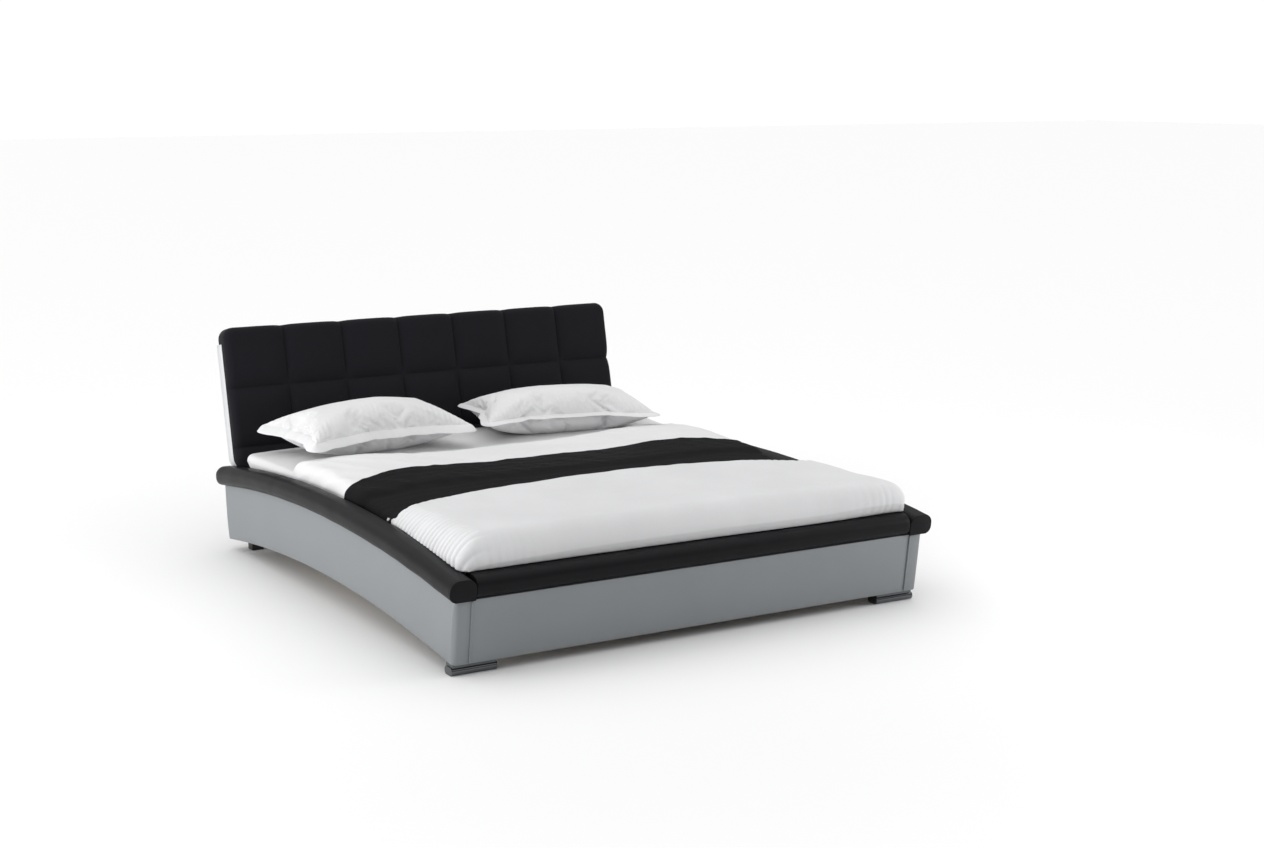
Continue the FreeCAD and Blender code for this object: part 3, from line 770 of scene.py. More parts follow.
    def foot_roll(self) -> None:
        """The padded roll across the foot."""
        low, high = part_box("foot_roll")
        side_low, side_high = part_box("left_rail_roll")
        base, crest = self.roll_heights()
        front = -self.overhang
        back = front + side_high[0] - side_low[0]
        shape = block((low[0], front, base), (high[0], back, crest))
        self.round_roll(shape, lambda at: abs(at.x) < 0.1, lambda at: abs(at.y - front) < CLOSE)
        slice_up(shape, "x", steps(low[0], high[0], self.roll_step))
        item = piece_of("foot_padded_roll", shape)
        middle = Vector((0, (front + back) / 2, (base + crest) / 2))

        def shaped(at: Vector) -> Vector:
            """Ripple the hide and stand it on the foot end."""
            return self.arch.foot_end(self.ripple(at, (at - middle) * Vector((0, 1, 1)), 6))

        mould(item, shaped)
        self.finish_piece(item, Finishes.BLACK_HIDE, "foot_roll")

    def welt(self, side: Side) -> None:
        """The corded welt where a side cover meets the foot panel."""
        low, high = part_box("foot_panel_cover")
        radius, proud, start, rings = 0.0034, -0.0020, 0.004, 40
        rise = (self.arch.depth - 1.5 * start) / rings
        shape = bmesh.new()
        bmesh.ops.create_circle(shape, cap_ends=True, segments=12, radius=radius)
        place = (side.value * (high[0] - low[0]) / 2, proud, start)
        bmesh.ops.translate(shape, vec=place, verts=shape.verts)
        faces = shape.faces[:]
        for _ in range(rings):
            made = bmesh.ops.extrude_face_region(shape, geom=faces)["geom"]
            bmesh.ops.delete(shape, geom=faces, context="FACES_ONLY")
            faces = [part for part in made if isinstance(part, bmesh.types.BMFace)]
            verts = [part for part in made if isinstance(part, bmesh.types.BMVert)]
            bmesh.ops.translate(shape, vec=(0, 0, rise), verts=verts)
        item = piece_of(f"{side.word}_welt", shape)
        mould(item, self.arch.foot_end)
        self.finish_piece(item, Finishes.SILVER)

    def clear(self, at: Vector, gap: float) -> Vector:
        """Push a point of the bedding off the rolls that it would lie in.

        Args:
            at: the point.
            gap: how far off the rolls it stays.

        Returns:
            The point, moved if it had to.
        """
        inner, width = self.roll_inner, self.roll_width
        base, crest = self.arch.depth, self.arch.depth + self.roll_height
        dy, dz = at.y - self.arch.centre_y, at.z - self.arch.centre_z
        reach = math.hypot(dy, dz) - self.arch.radius
        spin = math.atan2(dy, dz)
        across, up = self.push_out(abs(at.x) - inner - width / 2, reach - (base + crest) / 2,
                                   width / 2, (crest - base) / 2, gap)
        out = self.arch.radius + up + (base + crest) / 2
        at = Vector((math.copysign(across + inner + width / 2, at.x),
                     self.arch.centre_y + out * math.sin(spin),
                     self.arch.centre_z + out * math.cos(spin)))
        sine, cosine = math.sin(self.arch.half_sweep), math.cos(self.arch.half_sweep)
        dy, dz = at.y - self.arch.centre_y, at.z - self.arch.centre_z
        inward, rise = dy * cosine + dz * sine, dz * cosine - dy * sine - self.arch.radius
        inward, rise = self.push_out(inward + self.overhang - width / 2, rise - (base + crest) / 2,
                                     width / 2, (crest - base) / 2, gap)
        inward, rise = inward - self.overhang + width / 2, rise + (base + crest) / 2
        return self.arch.foot_end(Vector((at.x, inward, rise)))

    def push_out(self, across: float, up: float, half_width: float, half_height: float,
                 gap: float) -> tuple[float, float]:
        """Push a point out of a rounded section to a gap from its skin."""
        round_by = self.roll_crest
        beyond = Vector((abs(across) - half_width + round_by, abs(up) - half_height + round_by))
        outside = Vector((max(beyond.x, 0), max(beyond.y, 0)))
        distance = outside.length + min(max(beyond.x, beyond.y), 0) - round_by
        if distance >= gap:
            return across, up
        if outside.length > 1e-9:
            away = outside.normalized()
        else:
            away = Vector((1, 0)) if beyond.x > beyond.y else Vector((0, 1))
        push = gap - distance
        return across + math.copysign(away.x * push, across), up + math.copysign(away.y * push, up)

    def build(self) -> None:
        """Make every piece."""
        for side in Side:
            self.side_cover(side)
            self.side_roll(side)
            self.welt(side)
        self.foot_cover()
        self.foot_roll()


@dataclass
class Headboard:
    """The leaning headboard: a tufted pad on a silver back shell."""

    lean: Lean
    finishes: Finishes
    columns: int = 7
    seams: tuple[float, float] = (0.700, 0.446)
    seam_depth: float = 0.022
    corner: float = 0.045

    def pad(self) -> None:
        """The tufted pad."""
        low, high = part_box("headboard_pad")
        base, top, depth = Lean.PAD_FOOT, self.lean.top, 0.095
        shape = block((low[0], 0, base), (high[0], depth, top))
        bevel(shape, edges_at(shape, lambda at: abs(at.y - depth / 2) < CLOSE and at.z > top - 1e-3),
              self.corner, 8)
        bevel(shape, edges_at(shape, lambda at: at.y < CLOSE), 0.03, 8)
        bevel(shape, edges_at(shape, lambda at: at.y > depth - CLOSE), 0.010, 3)
        width = (high[0] - low[0]) / self.columns
        seams_x = [low[0] + width * number for number in range(1, self.columns)]
        slice_up(shape, "x", sorted(self.fine(low[0], high[0], seams_x)))
        slice_up(shape, "z", sorted(self.fine(base, top, self.seams)))
        item = piece_of("headboard_cushion", shape)

        def shaped(at: Vector) -> Vector:
            """Pull the seams in, round the crown and lean the pad."""
            to_x = min(abs(at.x - seam) for seam in seams_x)
            to_z = min(abs(at.z - seam) for seam in self.seams)
            front = 1 - smoothstep(0.03, 0.075, at.y)
            pull_x, pull_z = self.pull(to_x), self.pull(to_z)
            depth_here = self.seam_depth * (1 - (1 - pull_x) * (1 - pull_z * 0.9))
            pucker = 0.0010 * fabric_noise(Vector((at.x * 3.2, 0, at.z)), 0.05, 4) * math.exp(-to_z / 0.03)
            pucker += 0.0010 * fabric_noise(Vector((at.x, 0, at.z * 3.2)), 0.05, 9) * math.exp(-to_x / 0.03)
            at.y += front * (depth_here + pucker + 0.0012 * fabric_noise(at, 0.09))
            crown = smoothstep(top - 0.04, top, at.z) * (1 - smoothstep(0.06, 0.09, at.y))
            at.z += 0.010 * smoothstep(top - 0.2, top, at.z) - 0.004 * pull_x * crown
            return self.lean.stand(self.spread(at))

        mould(item, shaped)
        self.finishes.dress(item, Finishes.BLACK_CLOTH, Body.FRAME, "black_cloth", "headboard_pad")

    @staticmethod
    def spread(at: Vector) -> Vector:
        """Widen the headboard above the side rolls, a little more on its left."""
        wider = 0.018 if at.x > 0 else 0.036
        at.x *= 1 + wider * smoothstep(0.32, 0.40, at.z)
        return at

    @staticmethod
    def pull(distance: float) -> float:
        """How far the filling is pulled in at a distance from a seam, from 1 at the seam to 0."""
        return math.exp(-distance / 0.024)

    @staticmethod
    def fine(low: float, high: float, seams: Iterable[float]) -> set[float]:
        """Places for cuts: even ones, and closer ones beside the seams."""
        places = {round(place, 5) for place in steps(low, high, 0.014)}
        for seam in seams:
            places -= {place for place in places if abs(place - seam) < 0.018}
            places |= {round(seam + offset, 5) for offset in (-0.016, -0.009, -0.005, -0.002, 0, 0.002, 0.005,
                                                              0.009, 0.016)}
        return places

    def shell(self) -> None:
        """The silver shell behind the pad."""
        low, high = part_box("headboard_back_cover")
        base, top = 0.07, self.lean.top - 0.012
        wall, side_top = 0.0022, top - 0.045
        _, pad_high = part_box("headboard_pad")
        shape = block((low[0], 0.0952, base), (high[0], 0.107, top))
        bevel(shape, edges_at(shape, lambda at: abs(at.x) > high[0] - 1e-3 and at.z > top - 1e-3),
              self.corner, 8)
        bevel(shape, sharp_edges(shape), 0.004, 3)
        for side in Side:
            near, far = sorted((side.value * (pad_high[0] + 0.0004), side.value * (pad_high[0] + wall)))
            strip = block((near, 0.050, 0.30), (far, 0.107, side_top))
            bevel(strip, edges_at(strip, lambda at: at.y < 0.0505), 0.0009, 2)
            mesh = bpy.data.meshes.new("strip")
            strip.to_mesh(mesh)
            strip.free()
            shape.from_mesh(mesh)
            bpy.data.meshes.remove(mesh)
        slice_up(shape, "x", steps(low[0], high[0], 0.06))
        slice_up(shape, "z", steps(base, top, 0.02))
        item = piece_of("headboard_shell", shape)
        mould(item, lambda at: self.lean.stand(self.spread(at)))
        self.finishes.dress(item, Finishes.PALE_HIDE, Body.FRAME, "silver_hide", "headboard_back_cover")

    def build(self) -> None:
        """Make the pad and the shell."""
        self.pad()
        self.shell()


@dataclass
class Bed:
    """The made-up mattress's shape: what every sheet on it follows."""

    top: float
    half_width: float
    foot: float
    edge: float = 0.032

    @classmethod
    def from_frame(cls) -> "Bed":
        """Measure the mattress."""
        low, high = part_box("mattress")
        return cls(high[2], high[0], low[1])

    def crown(self, x: float, y: float) -> float:
        """How far the bed rises towards its middle."""
        y -= ORIGIN_Y
        length = 0.014 + 0.028 * (1 - smoothstep(0.1, 0.6, y)) * smoothstep(-1.25, -0.1, y)
        right = smoothstep(0.2, 0.75, x) * (0.014 + 0.034 * math.exp(-((y - 0.2) / 0.36) ** 2))
        right *= smoothstep(-0.5, -0.2, y)
        return length * max(0.0, 1 - (abs(x) / self.half_width) ** 2.4) + right

    def over(self, arc: float, y: float, lift: float, edge: float | None = None) -> tuple[float, float]:
        """The point of the bed's cross-section at an arc length from its middle, lifted off it.

        Args:
            arc: signed length along the section, from the middle.
            y: place along the bed.
            lift: distance off the mattress.
            edge: radius over the mattress's side, if not its own.

        Returns:
            The point's x and z.
        """
        half, radius = self.half_width - 0.003 + lift, (self.edge if edge is None else edge) + lift
        level, reach = half - radius, abs(arc)
        quarter = radius * math.pi / 2
        if reach <= level:
            x, z = reach, self.top + lift
        elif reach <= level + quarter:
            angle = (reach - level) / radius
            x, z = level + radius * math.sin(angle), self.top + lift - radius * (1 - math.cos(angle))
        else:
            x, z = half, self.top + lift - radius - (reach - level - quarter)
        return math.copysign(x, arc), z + self.crown(x, y)


@dataclass
class Bedding:
    """Mattress, fitted sheet, turned-down sheet, throw and duvet."""

    bed: Bed
    finishes: Finishes
    rails: Rails
    sheet_edge: float = 0.4474 + ORIGIN_Y
    tuck: float = 0.05

    def dress(self, item: bpy.types.Object, finish: Any, slot: str, *nodes: str) -> bpy.types.Object:
        """Dress a piece and tie it to the mattress."""
        return self.finishes.dress(item, finish, Body.MATTRESS, slot, *nodes)

    def mattress(self) -> None:
        """The mattress core."""
        low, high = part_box("mattress")
        item = rounded_block("mattress_core", low, high, 0.05, 0.03, 6)
        shape = bmesh.new()
        shape.from_mesh(item.data)
        slice_up(shape, "x", steps(low[0], high[0], 0.09))
        slice_up(shape, "y", steps(low[1], high[1], 0.09))
        shape.to_mesh(item.data)
        shape.free()

        def shaped(at: Vector) -> Vector:
            """Raise the mattress towards its middle."""
            share = smoothstep(low[2] + 0.1, high[2], at.z)
            at.z += share * self.bed.crown(at.x, at.y) * 0.97
            return at

        mould(item, shaped)
        self.dress(item, Finishes.TICKING, "ticking", "mattress")

    def fitted_sheet(self) -> None:
        """The stretched sheet over the mattress."""
        low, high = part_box("mattress")
        margin, hem = 0.0022, 0.30
        item = rounded_block("fitted_sheet", [low[0] - margin, low[1] - margin, low[2]],
                             [high[0] + margin, high[1] + margin, high[2] + margin], 0.036, 0.024, 6)
        shape = bmesh.new()
        shape.from_mesh(item.data)
        bmesh.ops.bisect_plane(shape, geom=shape.verts[:] + shape.edges[:] + shape.faces[:],
                               plane_co=(0, 0, hem), plane_no=(0, 0, 1), clear_inner=True)
        slice_up(shape, "x", steps(low[0], high[0], 0.02))
        slice_up(shape, "y", steps(low[1], high[1], 0.02))
        shape.to_mesh(item.data)
        shape.free()

        def shaped(at: Vector) -> Vector:
            """Follow the mattress, and widen a little at the head."""
            share = smoothstep(low[2] + 0.1, high[2], at.z)
            at.z += share * (self.bed.crown(at.x, at.y) + 0.0012 * (1 + fabric_noise(at, 0.11)))
            head = smoothstep(0.45, 0.85, at.y - ORIGIN_Y)
            at.x *= 1 + 0.044 * head * smoothstep(0.355, 0.372, at.z)
            at.z += 0.014 * head * share
            return at

        mould(item, shaped)
        add_modifier(item, "SOLIDIFY", thickness=0.0015, offset=1.0)
        bake_modifiers(item)
        # The fitted sheet takes the darker copy of the linen, as painted shade.
        self.dress(item, Finishes.SHADED_FITTED, "linen")

    def folds(self, x: float, y: float) -> float:
        """Soft diagonal creases of a sheet that was laid by hand."""
        at = Vector((x * 0.8 + y * 0.6, (y * 0.8 - x * 0.6) * 0.3, 0))
        soft = abs(fabric_noise(at, 0.10, 2))
        fine = fabric_noise(Vector((x, y, 0)), 0.035, 7)
        left = 1 + 1.2 * smoothstep(-0.3, -0.8, x)
        return 0.0050 * left * (0.5 - soft) + 0.0011 * fine

    def top_sheet(self) -> None:
        """The white sheet, turned back over itself towards the foot."""
        lower, turn = 0.0045, 0.0042
        reach = self.bed.half_width + 0.02 + self.tuck
        run = self.sheet_edge - turn + 0.16

        def place(u: float, v: float) -> Vector:
            """A point of the sheet, before, in or after its turn."""
            arc = (u * 2 - 1) * reach
            length = v * (2 * run + math.pi * turn)
            hang = 0.012 * fabric_noise(Vector((u * 3, 0, 0)), 0.5, 6)
            if length <= run:
                y, lift = self.sheet_edge - turn - run + length, lower
            elif length <= run + math.pi * turn:
                angle = (length - run) / turn
                y = self.sheet_edge - turn + turn * math.sin(angle)
                lift = lower + turn * (1 - math.cos(angle))
            else:
                y, lift = self.sheet_edge - turn - (length - run - math.pi * turn), lower + 2 * turn
            x, z = self.bed.over(arc, y, lift + self.folds(arc, y) * (1 if lift > lower else 0.3) + 0.003)
            return Vector((x, y + hang, z))

        item = grid_piece("turned_down_sheet", 220, 190, place, 0.0012)
        self.dress(item, Finishes.LINEN, "linen", "top_sheet")
        2 * reach
        2 * run

    def throw(self) -> None:
        """The black throw across the bed."""
        reach = self.bed.half_width + 0.02 + self.tuck
        foot = ORIGIN_Y - 0.74

        def head_edge(x: float) -> float:
            """Where the throw's edge towards the head lies."""
            uneven = 0.008 * fabric_noise(Vector((x, 0, 0)), 0.4, 2)
            return ORIGIN_Y + 0.020 - 0.105 * (abs(x) / 0.9) ** 3 + uneven

        def place(u: float, v: float) -> Vector:
            """A point of the throw."""
            arc = (u * 2 - 1) * reach
            edge = head_edge(min(0.95, abs(arc)) * (1 if arc > 0 else -1))
            y = foot + (edge - foot) * v
            over_sheet = smoothstep(-0.27, -0.20, y - ORIGIN_Y)
            lift = 0.0085 + 0.0125 * over_sheet + over_sheet * self.folds(arc, y)
            line = fabric_noise(Vector((arc * 0.25, y, 0)), 0.03, 5)
            broad = fabric_noise(Vector((arc, y * 2, 0)), 0.2, 1)
            x, z = self.bed.over(arc, y, lift + 0.0016 * line + 0.002 * broad + 0.001)
            return Vector((x, y, z))

        item = grid_piece("throw_blanket", 240, 130, place, 0.003)
        self.dress(item, Finishes.THROW, "throw", "blanket")
        2 * reach

    def duvet(self) -> None:
        """The duvet folded back over the foot half of the bed."""
        reach, radius, thick = self.bed.half_width + 0.035, 0.062, 0.052
        left_more, left_edge = 0.055, 0.075
        foot = self.bed.foot + 0.006

        def head_edge(x: float) -> float:
            """Where the duvet's edge towards the head lies."""
            side = 0.10 * max(0.0, (x - 0.25) / 0.65) ** 2 if x > 0.25 else 0.045 * (max(0, -x) / 0.9) ** 3
            return ORIGIN_Y - 0.468 - side + 0.006 * fabric_noise(Vector((x, 0, 0)), 0.12, 3)

        def middle(u: float, v: float) -> Vector:
            """A point of the duvet's middle layer."""
            arc = -(reach + left_more) + u * (2 * reach + left_more)
            head = head_edge(max(-0.9, min(0.9, arc)))
            front = foot - 0.012 * arc
            quarter = radius * math.pi / 2
            length = (1 - v) * (head - front + quarter + 0.050)
            if length <= head - front:
                y, drop = head - length, 0.0
            elif length <= head - front + quarter:
                angle = (length - head + front) / radius
                y, drop = front - radius * math.sin(angle), radius * (1 - math.cos(angle))
            else:
                y, drop = front - radius, radius + length - (head - front + quarter)
            x, z = self.bed.over(arc, y, 0.006 + thick / 2, left_edge if arc < 0 else None)
            fall = self.bed.top + 0.006 + thick / 2 + self.bed.crown(x, y) - z
            fall += 0.030 * smoothstep(0.45, 0.9, x) * smoothstep(-0.65, -1.08, y - ORIGIN_Y)
            return Vector((x, y, z + fall - math.hypot(fall, drop)))

        def place(even: float, v: float, face: int) -> Vector:
            """A point of the duvet's upper or lower face."""
            step, u = 1e-3, even - 0.6 * math.sin(2 * math.pi * even) / (2 * math.pi)
            at = middle(u, v)
            run_u = middle(min(1, u + step), v) - middle(max(0, u - step), v)
            run_v = middle(u, min(1, v + step)) - middle(u, max(0, v - step))
            normal = run_u.cross(run_v).normalized()
            rim_u = min(u, 1 - u) * 2 * reach
            rim_v = min(v, 1 - v) * 0.72
            swell = min(1.0, rim_u / 0.045) ** 0.5 * min(1.0, rim_v / 0.045) ** 0.5
            amount = thick / 2 * swell
            if face > 0:
                amount += 0.008 * fabric_noise(at, 0.28, 4) * swell
                amount += 0.0022 * fabric_noise(Vector((at.x, at.y * 0.6, 0)), 0.075, 1) * swell
                left = max(0.0, 1 - u * 2 * reach / 0.19)
                amount -= 0.0230 * left ** 1.3 * self.pleat(at.y, 0.029, at.x) * min(1, rim_u / 0.006)
                front_fold = math.exp(-(1 - v) * 0.72 / 0.10) if v > 0.5 else math.exp(-v * 0.72 / 0.10)
                ends = smoothstep(0.45, 0.85, abs(at.x))
                amount -= 0.0065 * front_fold * ends * self.pleat(at.x, 0.034, at.y) * min(1, rim_v / 0.006)
            return self.rails.clear(at + normal * amount * face, 0.002)

        item = closed_pair("duvet_quilt", 180, 240, place)
        # The duvet takes the darker copy of the linen, as painted shade.
        self.dress(item, Finishes.DUVET, "linen", "duvet")

    @staticmethod
    def pleat(along: float, width: float, away: float) -> float:
        """Uneven narrow creases between gathered folds, from 0 on a fold to 1 in a crease."""
        wander = 1.1 * noise.noise(Vector((along / 0.09, away / 0.15, 1)))
        depth = 0.6 + 0.4 * noise.noise(Vector((along / 0.05, 7, 3)))
        return depth * (1 - abs(math.sin(math.pi * along / width + wander))) ** 1.6

    def build(self) -> None:
        """Make every layer, from the mattress up."""
        self.mattress()
        self.fitted_sheet()
        self.top_sheet()
        self.throw()
        self.duvet()


def inflate(item: bpy.types.Object, pressure: float, frames: int) -> None:
    """Blow a closed cloth piece up by air pressure, without gravity, and keep the result."""
    cloth = add_modifier(item, "CLOTH")
    settings = cloth.settings
    settings.quality = 6
    settings.mass = 0.15
    settings.air_damping = 2.0
    settings.tension_stiffness = settings.compression_stiffness = 30.0
    settings.shear_stiffness = 8.0
    settings.bending_stiffness = 0.15
    settings.use_pressure = True
    settings.uniform_pressure_force = pressure
    settings.effector_weights.gravity = 0.0
    cloth.point_cache.frame_start = 1
    cloth.point_cache.frame_end = frames
    scene = bpy.context.scene
    for frame_number in range(1, frames + 1):
        scene.frame_set(frame_number)
    bake_modifiers(item)
    scene.frame_set(1)


@dataclass
class Pillow:
    """A soft pillow in an oxford case: a filled middle with a flat flange all round."""

    side: Side
    finishes: Finishes
    centre: tuple[float, float]
    width: float
    depth: float
    yaw: float
    tilt: float = math.radians(2.5)
    height: float = 0.222
    flange: float = 0.030
    droop: float = 0.35
    pleat_depth: float = 0.010
    pleat_width: float = 0.023
    slant: float = 0.25
    filled_width: float = 0.93
    filled_depth: float = 0.9
    lower_bulge: float = 0.10
    above_sheet: float = 0.004
    pressure: float = 5.0
    frames: int = 24
    cells: int = 96

    def blank(self) -> tuple[bpy.types.Object, list[int]]:
        """Two flat layers joined at the rim, and the rim's vertices in order."""
        across, along = self.cells, round(self.cells * self.depth / self.width)

        def place(u: float, v: float, face: int) -> Vector:
            """A point of the upper or lower layer, before it is filled."""
            inside = min(u, 1 - u, v, 1 - v) > 0
            swell = (math.sin(math.pi * u) * math.sin(math.pi * v)) ** 0.5 if inside else 0.0
            at = Vector(((u - 0.5) * self.width, (v - 0.5) * self.depth, 0))
            rough = 0.003 * fabric_noise(at, 0.05, self.side.value * 3 + face) * swell
            return at + Vector((0, 0, face * 0.02 * swell + rough))

        ring = [(i, 0) for i in range(across)] + [(across, j) for j in range(along)]
        ring += [(i, along) for i in range(across, 0, -1)] + [(0, j) for j in range(along, 0, -1)]
        rim = [j * (across + 1) + i for i, j in ring]
        return closed_pair(f"{self.side.word}_soft_pillow", across, along, place), rim

    def add_flange(self, item: bpy.types.Object, rim: Sequence[int]) -> None:
        """Sew the flat flange on round the rim."""
        points = [item.data.vertices[index].co.copy() for index in rim]
        shape = bmesh.new()
        shape.from_mesh(item.data)
        count = len(points)
        smoothed = [sum((points[(k + d) % count] for d in range(-3, 4)), Vector()) / 7 for k in range(count)]
        rings: list[list[bmesh.types.BMVert]] = []
        profile = [(-0.006, 1), (0.004, 1), (0.5, 1), (0.97, 1), (1.0, 0), (0.97, -1), (0.5, -1), (0.004, -1),
                   (-0.006, -1)]
        for share, face in profile:
            row = []
            for k, point in enumerate(points):
                ahead, behind = smoothed[(k + 2) % count], smoothed[(k - 2) % count]
                run = (ahead - behind).normalized()
                out = run.cross(Vector((0, 0, 1))).normalized()
                reach = self.flange * max(share, 0) + min(share, 0)
                wave = 0.004 * fabric_noise(point, 0.07, 3) * max(0, share)
                wave -= self.droop * self.flange * max(0, share) ** 1.5
                at = point.lerp(smoothed[k], max(0, share)) + out * reach
                row.append(shape.verts.new(at + Vector((0, 0, wave + face * 0.0012))))
            rings.append(row)
        for low, high in zip(rings, rings[1:] + rings[:1]):
            for k in range(count):
                shape.faces.new((low[k], low[(k + 1) % count], high[(k + 1) % count], high[k]))
        bmesh.ops.recalc_face_normals(shape, faces=shape.faces)
        shape.to_mesh(item.data)
        shape.free()
        item.data.shade_smooth()

    def gathered(self, at: Vector) -> Vector:
        """Gather the case into creases that run up from its seam."""
        if at.z > 0:
            to_end = self.width / 2 * self.filled_width - abs(at.x)
            to_front = self.depth / 2 * self.filled_depth - abs(at.y)
            along, away = (at.x, at.y) if to_front < to_end else (at.y, at.x)
            spread = 0.065 + 0.06 * fabric_noise(Vector((along, self.side.value, 0)), 0.09, 2)
            crease = self.pleat_depth * math.exp(-max(0.0, min(to_end, to_front)) / spread)
            share = (1.0 if at.y < 0 else 0.5) * smoothstep(0, 0.014, at.z)
            lean = self.slant * away * self.side.value
            crease *= share * Bedding.pleat(along + lean, self.pleat_width, away)
            inward = Vector((0, -at.y, 0)) if to_front < to_end else Vector((-at.x, 0, 0))
            at += inward.normalized() * crease * 0.9 - Vector((0, 0, crease))
        return at

    def fill(self, item: bpy.types.Object) -> None:
        """Fill the two layers, and bring them to the pillow's height."""
        inflate(item, self.pressure, self.frames)
        heights = [vertex.co.z for vertex in item.data.vertices]
        stretch = self.height / (max(heights) - min(heights))

        def fuller(at: Vector) -> Vector:
            """Stretch to the height, and let the lower half bulge."""
            low_share = max(0.0, -at.z * stretch / self.height * 2)
            bulge = 1 + self.lower_bulge * min(1.0, low_share * 2) * (1 - 0.4 * low_share)
            return Vector((at.x * (1 + (bulge - 1) * 0.6), at.y * bulge,
                           at.z * stretch * (1.05 if at.z < 0 else 0.97)))

        mould(item, fuller)

    def lay_down(self, item: bpy.types.Object) -> None:
        """Turn the pillow and lay it on the sheet."""
        low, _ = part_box(f"{self.side.word}_pillow")
        turn = Matrix.Rotation(self.yaw, 4, "Z") @ Matrix.Rotation(self.tilt, 4, "X")
        mould(item, lambda at: turn @ at)
        floor_z = min(vertex.co.z for vertex in item.data.vertices)
        shift = Vector((self.centre[0], self.centre[1] + ORIGIN_Y, low[2] + self.above_sheet - floor_z))
        mould(item, lambda at: at + shift)

    def build(self) -> None:
        """Make the pillow."""
        item, rim = self.blank()
        self.fill(item)
        self.add_flange(item, rim)
        add_modifier(item, "SUBSURF", levels=1, render_levels=1)
        bake_modifiers(item)
        mould(item, self.gathered)
        self.lay_down(item)
        body = Body[f"{self.side.name}_PILLOW"]
        self.finishes.dress(item, Finishes.LINEN, body, "linen", f"{self.side.word}_pillow")


@dataclass
class Hardware:
    """The wooden, metal and plastic parts, which keep their own shapes and get finishes."""

    finishes: Finishes
    by_slot: dict[str, Any] = field(default_factory=lambda: {
        "board": Finishes.BOARD, "birch": Finishes.BIRCH, "chrome": Finishes.CHROME, "zinc": Finishes.ZINC,
        "black_steel": Finishes.BLACK_STEEL, "black_plastic": Finishes.RUBBER, "silver_hide": Finishes.SILVER,
        "black_hide": Finishes.BLACK_HIDE, "black_cloth": Finishes.BLACK_CLOTH, "ticking": Finishes.TICKING,
        "linen": Finishes.LINEN, "throw": Finishes.THROW})

    def build(self, record: dict[str, Any], nodes: dict[str, bpy.types.Object]) -> None:
        """Dress every node by its slot."""
        for row in record["subparts"]:
            node, finish = row["node"], self.by_slot[row["material_slot"]]
            if finish is Finishes.BOARD and "rail_board" in node:
                finish = Finishes.RAIL_BOARD
            self.finishes.paint(nodes[node], finish)


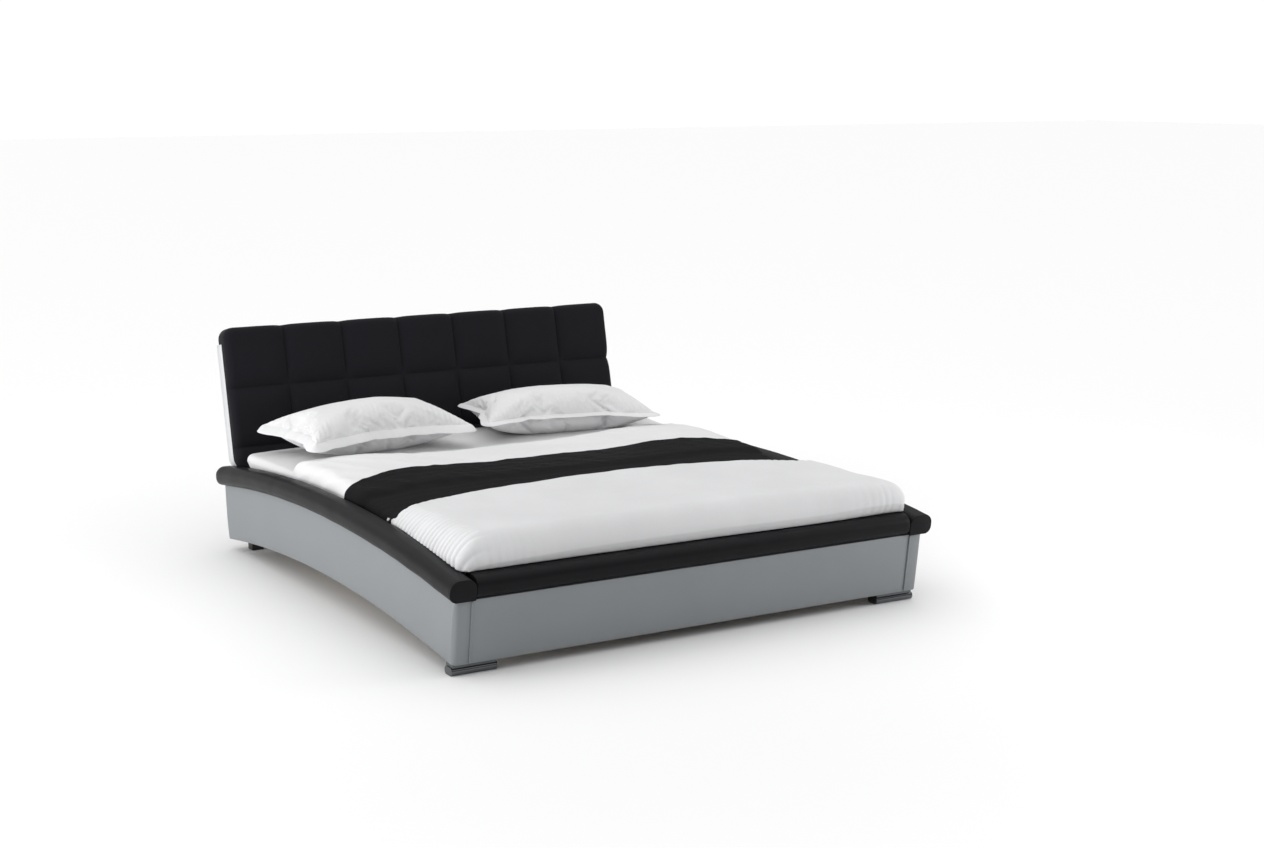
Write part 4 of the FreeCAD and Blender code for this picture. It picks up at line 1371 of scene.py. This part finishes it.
@dataclass
class Studio:
    """The white studio: floor, soft lights, surroundings and camera."""

    floor_size: float = 60.0
    # Painted shade and painted light: the floor's colour is darker near the bed and lighter far off.
    near_floor: float = 0.87
    far_floor: float = 0.98
    camera_at: tuple[float, float, float] = (-3.7619, ORIGIN_Y - 6.9908, 1.9882)
    camera_yaw: float = 0.537272
    camera_pitch: float = 0.172730
    camera_roll: float = -0.0023248
    lens: float = 56.805
    sensor: float = 36.0
    world_strength: float = 0.275
    sky: float = 0.965
    beside: float = 0.85
    backdrop: float = 1.05

    def floor(self) -> None:
        """The white floor, with painted shade: its colour is darker round the bed and lighter far away."""
        shape = bmesh.new()
        bmesh.ops.create_grid(shape, x_segments=1, y_segments=1, size=self.floor_size)
        item = piece_of("studio_floor", shape, smooth=False)
        shader = Shader("studio_white").fixed(Roughness=0.6)
        # Painted shade: the floor's colour darkens towards the bed and brightens far away, standing in for
        # the shade round the bed.
        away_x, away_y = shader.place.part("X") + 0.3, shader.place.part("Y") + 0.6
        away = (away_x * away_x + away_y * away_y) ** 0.5
        share = shader.spread(away, 1.6, 4.2, 0, 1, "SMOOTHSTEP")
        near = (self.near_floor, self.near_floor, self.near_floor + 0.002)
        shader.feed("Base Color", shader.blend(share, near, (self.far_floor,) * 3))
        item.data.materials.append(shader.material)

    def light(self, name: str, at: Sequence[float], aim: Sequence[float], size: tuple[float, float],
              power: float) -> None:
        """A rectangular soft light.

        Args:
            name: the light's name.
            at: where it stands.
            aim: the point it faces.
            size: width and height.
            power: watts.
        """
        data = bpy.data.lights.new(name, "AREA")
        data.shape = "RECTANGLE"
        data.energy = power
        data.size, data.size_y = size
        item = bpy.data.objects.new(name, data)
        item.location = at
        item.rotation_euler = (Vector(aim) - Vector(at)).to_track_quat("-Z", "Y").to_euler()
        bpy.context.scene.collection.objects.link(item)

    def surroundings(self) -> None:
        """A white backdrop to the eye, and a dimmer room in what lights the bed."""
        world = bpy.data.worlds.new("studio")
        world.use_nodes = True
        bpy.context.scene.world = world
        wiring = Wiring(world.node_tree)
        background = wiring.tree.nodes["Background"]
        background.inputs["Color"].default_value = (1, 1, 1, 1)
        aim = wiring.node("ShaderNodeTexCoord", {}, {})
        overhead = wiring.spread(aim.part("Z"), 0.30, 0.80, 0.0, self.sky, "SMOOTHSTEP")
        leftward = aim.part("X") * -0.85 + aim.part("Y") * 0.5 + aim.part("Z") * 0.2
        beside = wiring.spread(leftward, 0.25, 0.95, self.world_strength, self.beside, "SMOOTHSTEP")
        room = overhead + beside
        seen = wiring.node("ShaderNodeLightPath", {}, {})
        strength = seen * self.backdrop + (1 - seen) * room
        wiring.tree.links.new(strength.socket, background.inputs["Strength"])

    def camera(self) -> None:
        """The camera, low at the foot's left corner."""
        data = bpy.data.cameras.new("camera")
        data.lens, data.sensor_width = self.lens, self.sensor
        data.clip_end = 200.0
        item = bpy.data.objects.new("camera", data)
        yaw, pitch, roll = self.camera_yaw, self.camera_pitch, self.camera_roll
        forward = Vector((math.sin(yaw) * math.cos(pitch), math.cos(yaw) * math.cos(pitch), -math.sin(pitch)))
        level = Vector((math.cos(yaw), -math.sin(yaw), 0))
        above = level.cross(forward)
        right = level * math.cos(roll) + above * math.sin(roll)
        up = above * math.cos(roll) - level * math.sin(roll)
        turn = Matrix((right, up, -forward)).transposed()
        item.matrix_world = Matrix.Translation(self.camera_at) @ turn.to_4x4()
        bpy.context.scene.collection.objects.link(item)
        bpy.context.scene.camera = item

    def build(self) -> None:
        """Set up the studio."""
        bpy.context.scene.view_settings.view_transform = "Standard"
        self.floor()
        self.light("right_fill", (3.3, -2.3, 1.0), (1.0, -1.2, 0.2), (1.2, 1.0), 34)
        self.light("left_fill", (-4.2, 0.1, 0.7), (-1.0, -0.3, 0.2), (1.6, 1.2), 52)
        self.surroundings()
        self.camera()


def main() -> None:
    """Build the whole scene."""
    logging.basicConfig(level=logging.INFO, format="%(message)s")
    finishes = Finishes()
    LOG.info("hardware")
    Hardware(finishes).build(frame["record"], frame["nodes"])
    LOG.info("rails")
    rails = Rails(Arch.from_frame(), finishes)
    rails.build()
    LOG.info("headboard")
    Headboard(Lean.from_frame(), finishes).build()
    LOG.info("bedding")
    Bedding(Bed.from_frame(), finishes, rails).build()
    LOG.info("pillows")
    Pillow(Side.LEFT, finishes, centre=(-0.475, 0.705), width=0.82, depth=0.49, yaw=math.radians(7),
           flange=0.038, droop=0.75).build()
    Pillow(Side.RIGHT, finishes, centre=(0.435, 0.69), width=0.84, depth=0.47, yaw=math.radians(-12),
           height=0.208).build()
    LOG.info("studio")
    Studio().build()


if __name__ == "__main__":
    main()
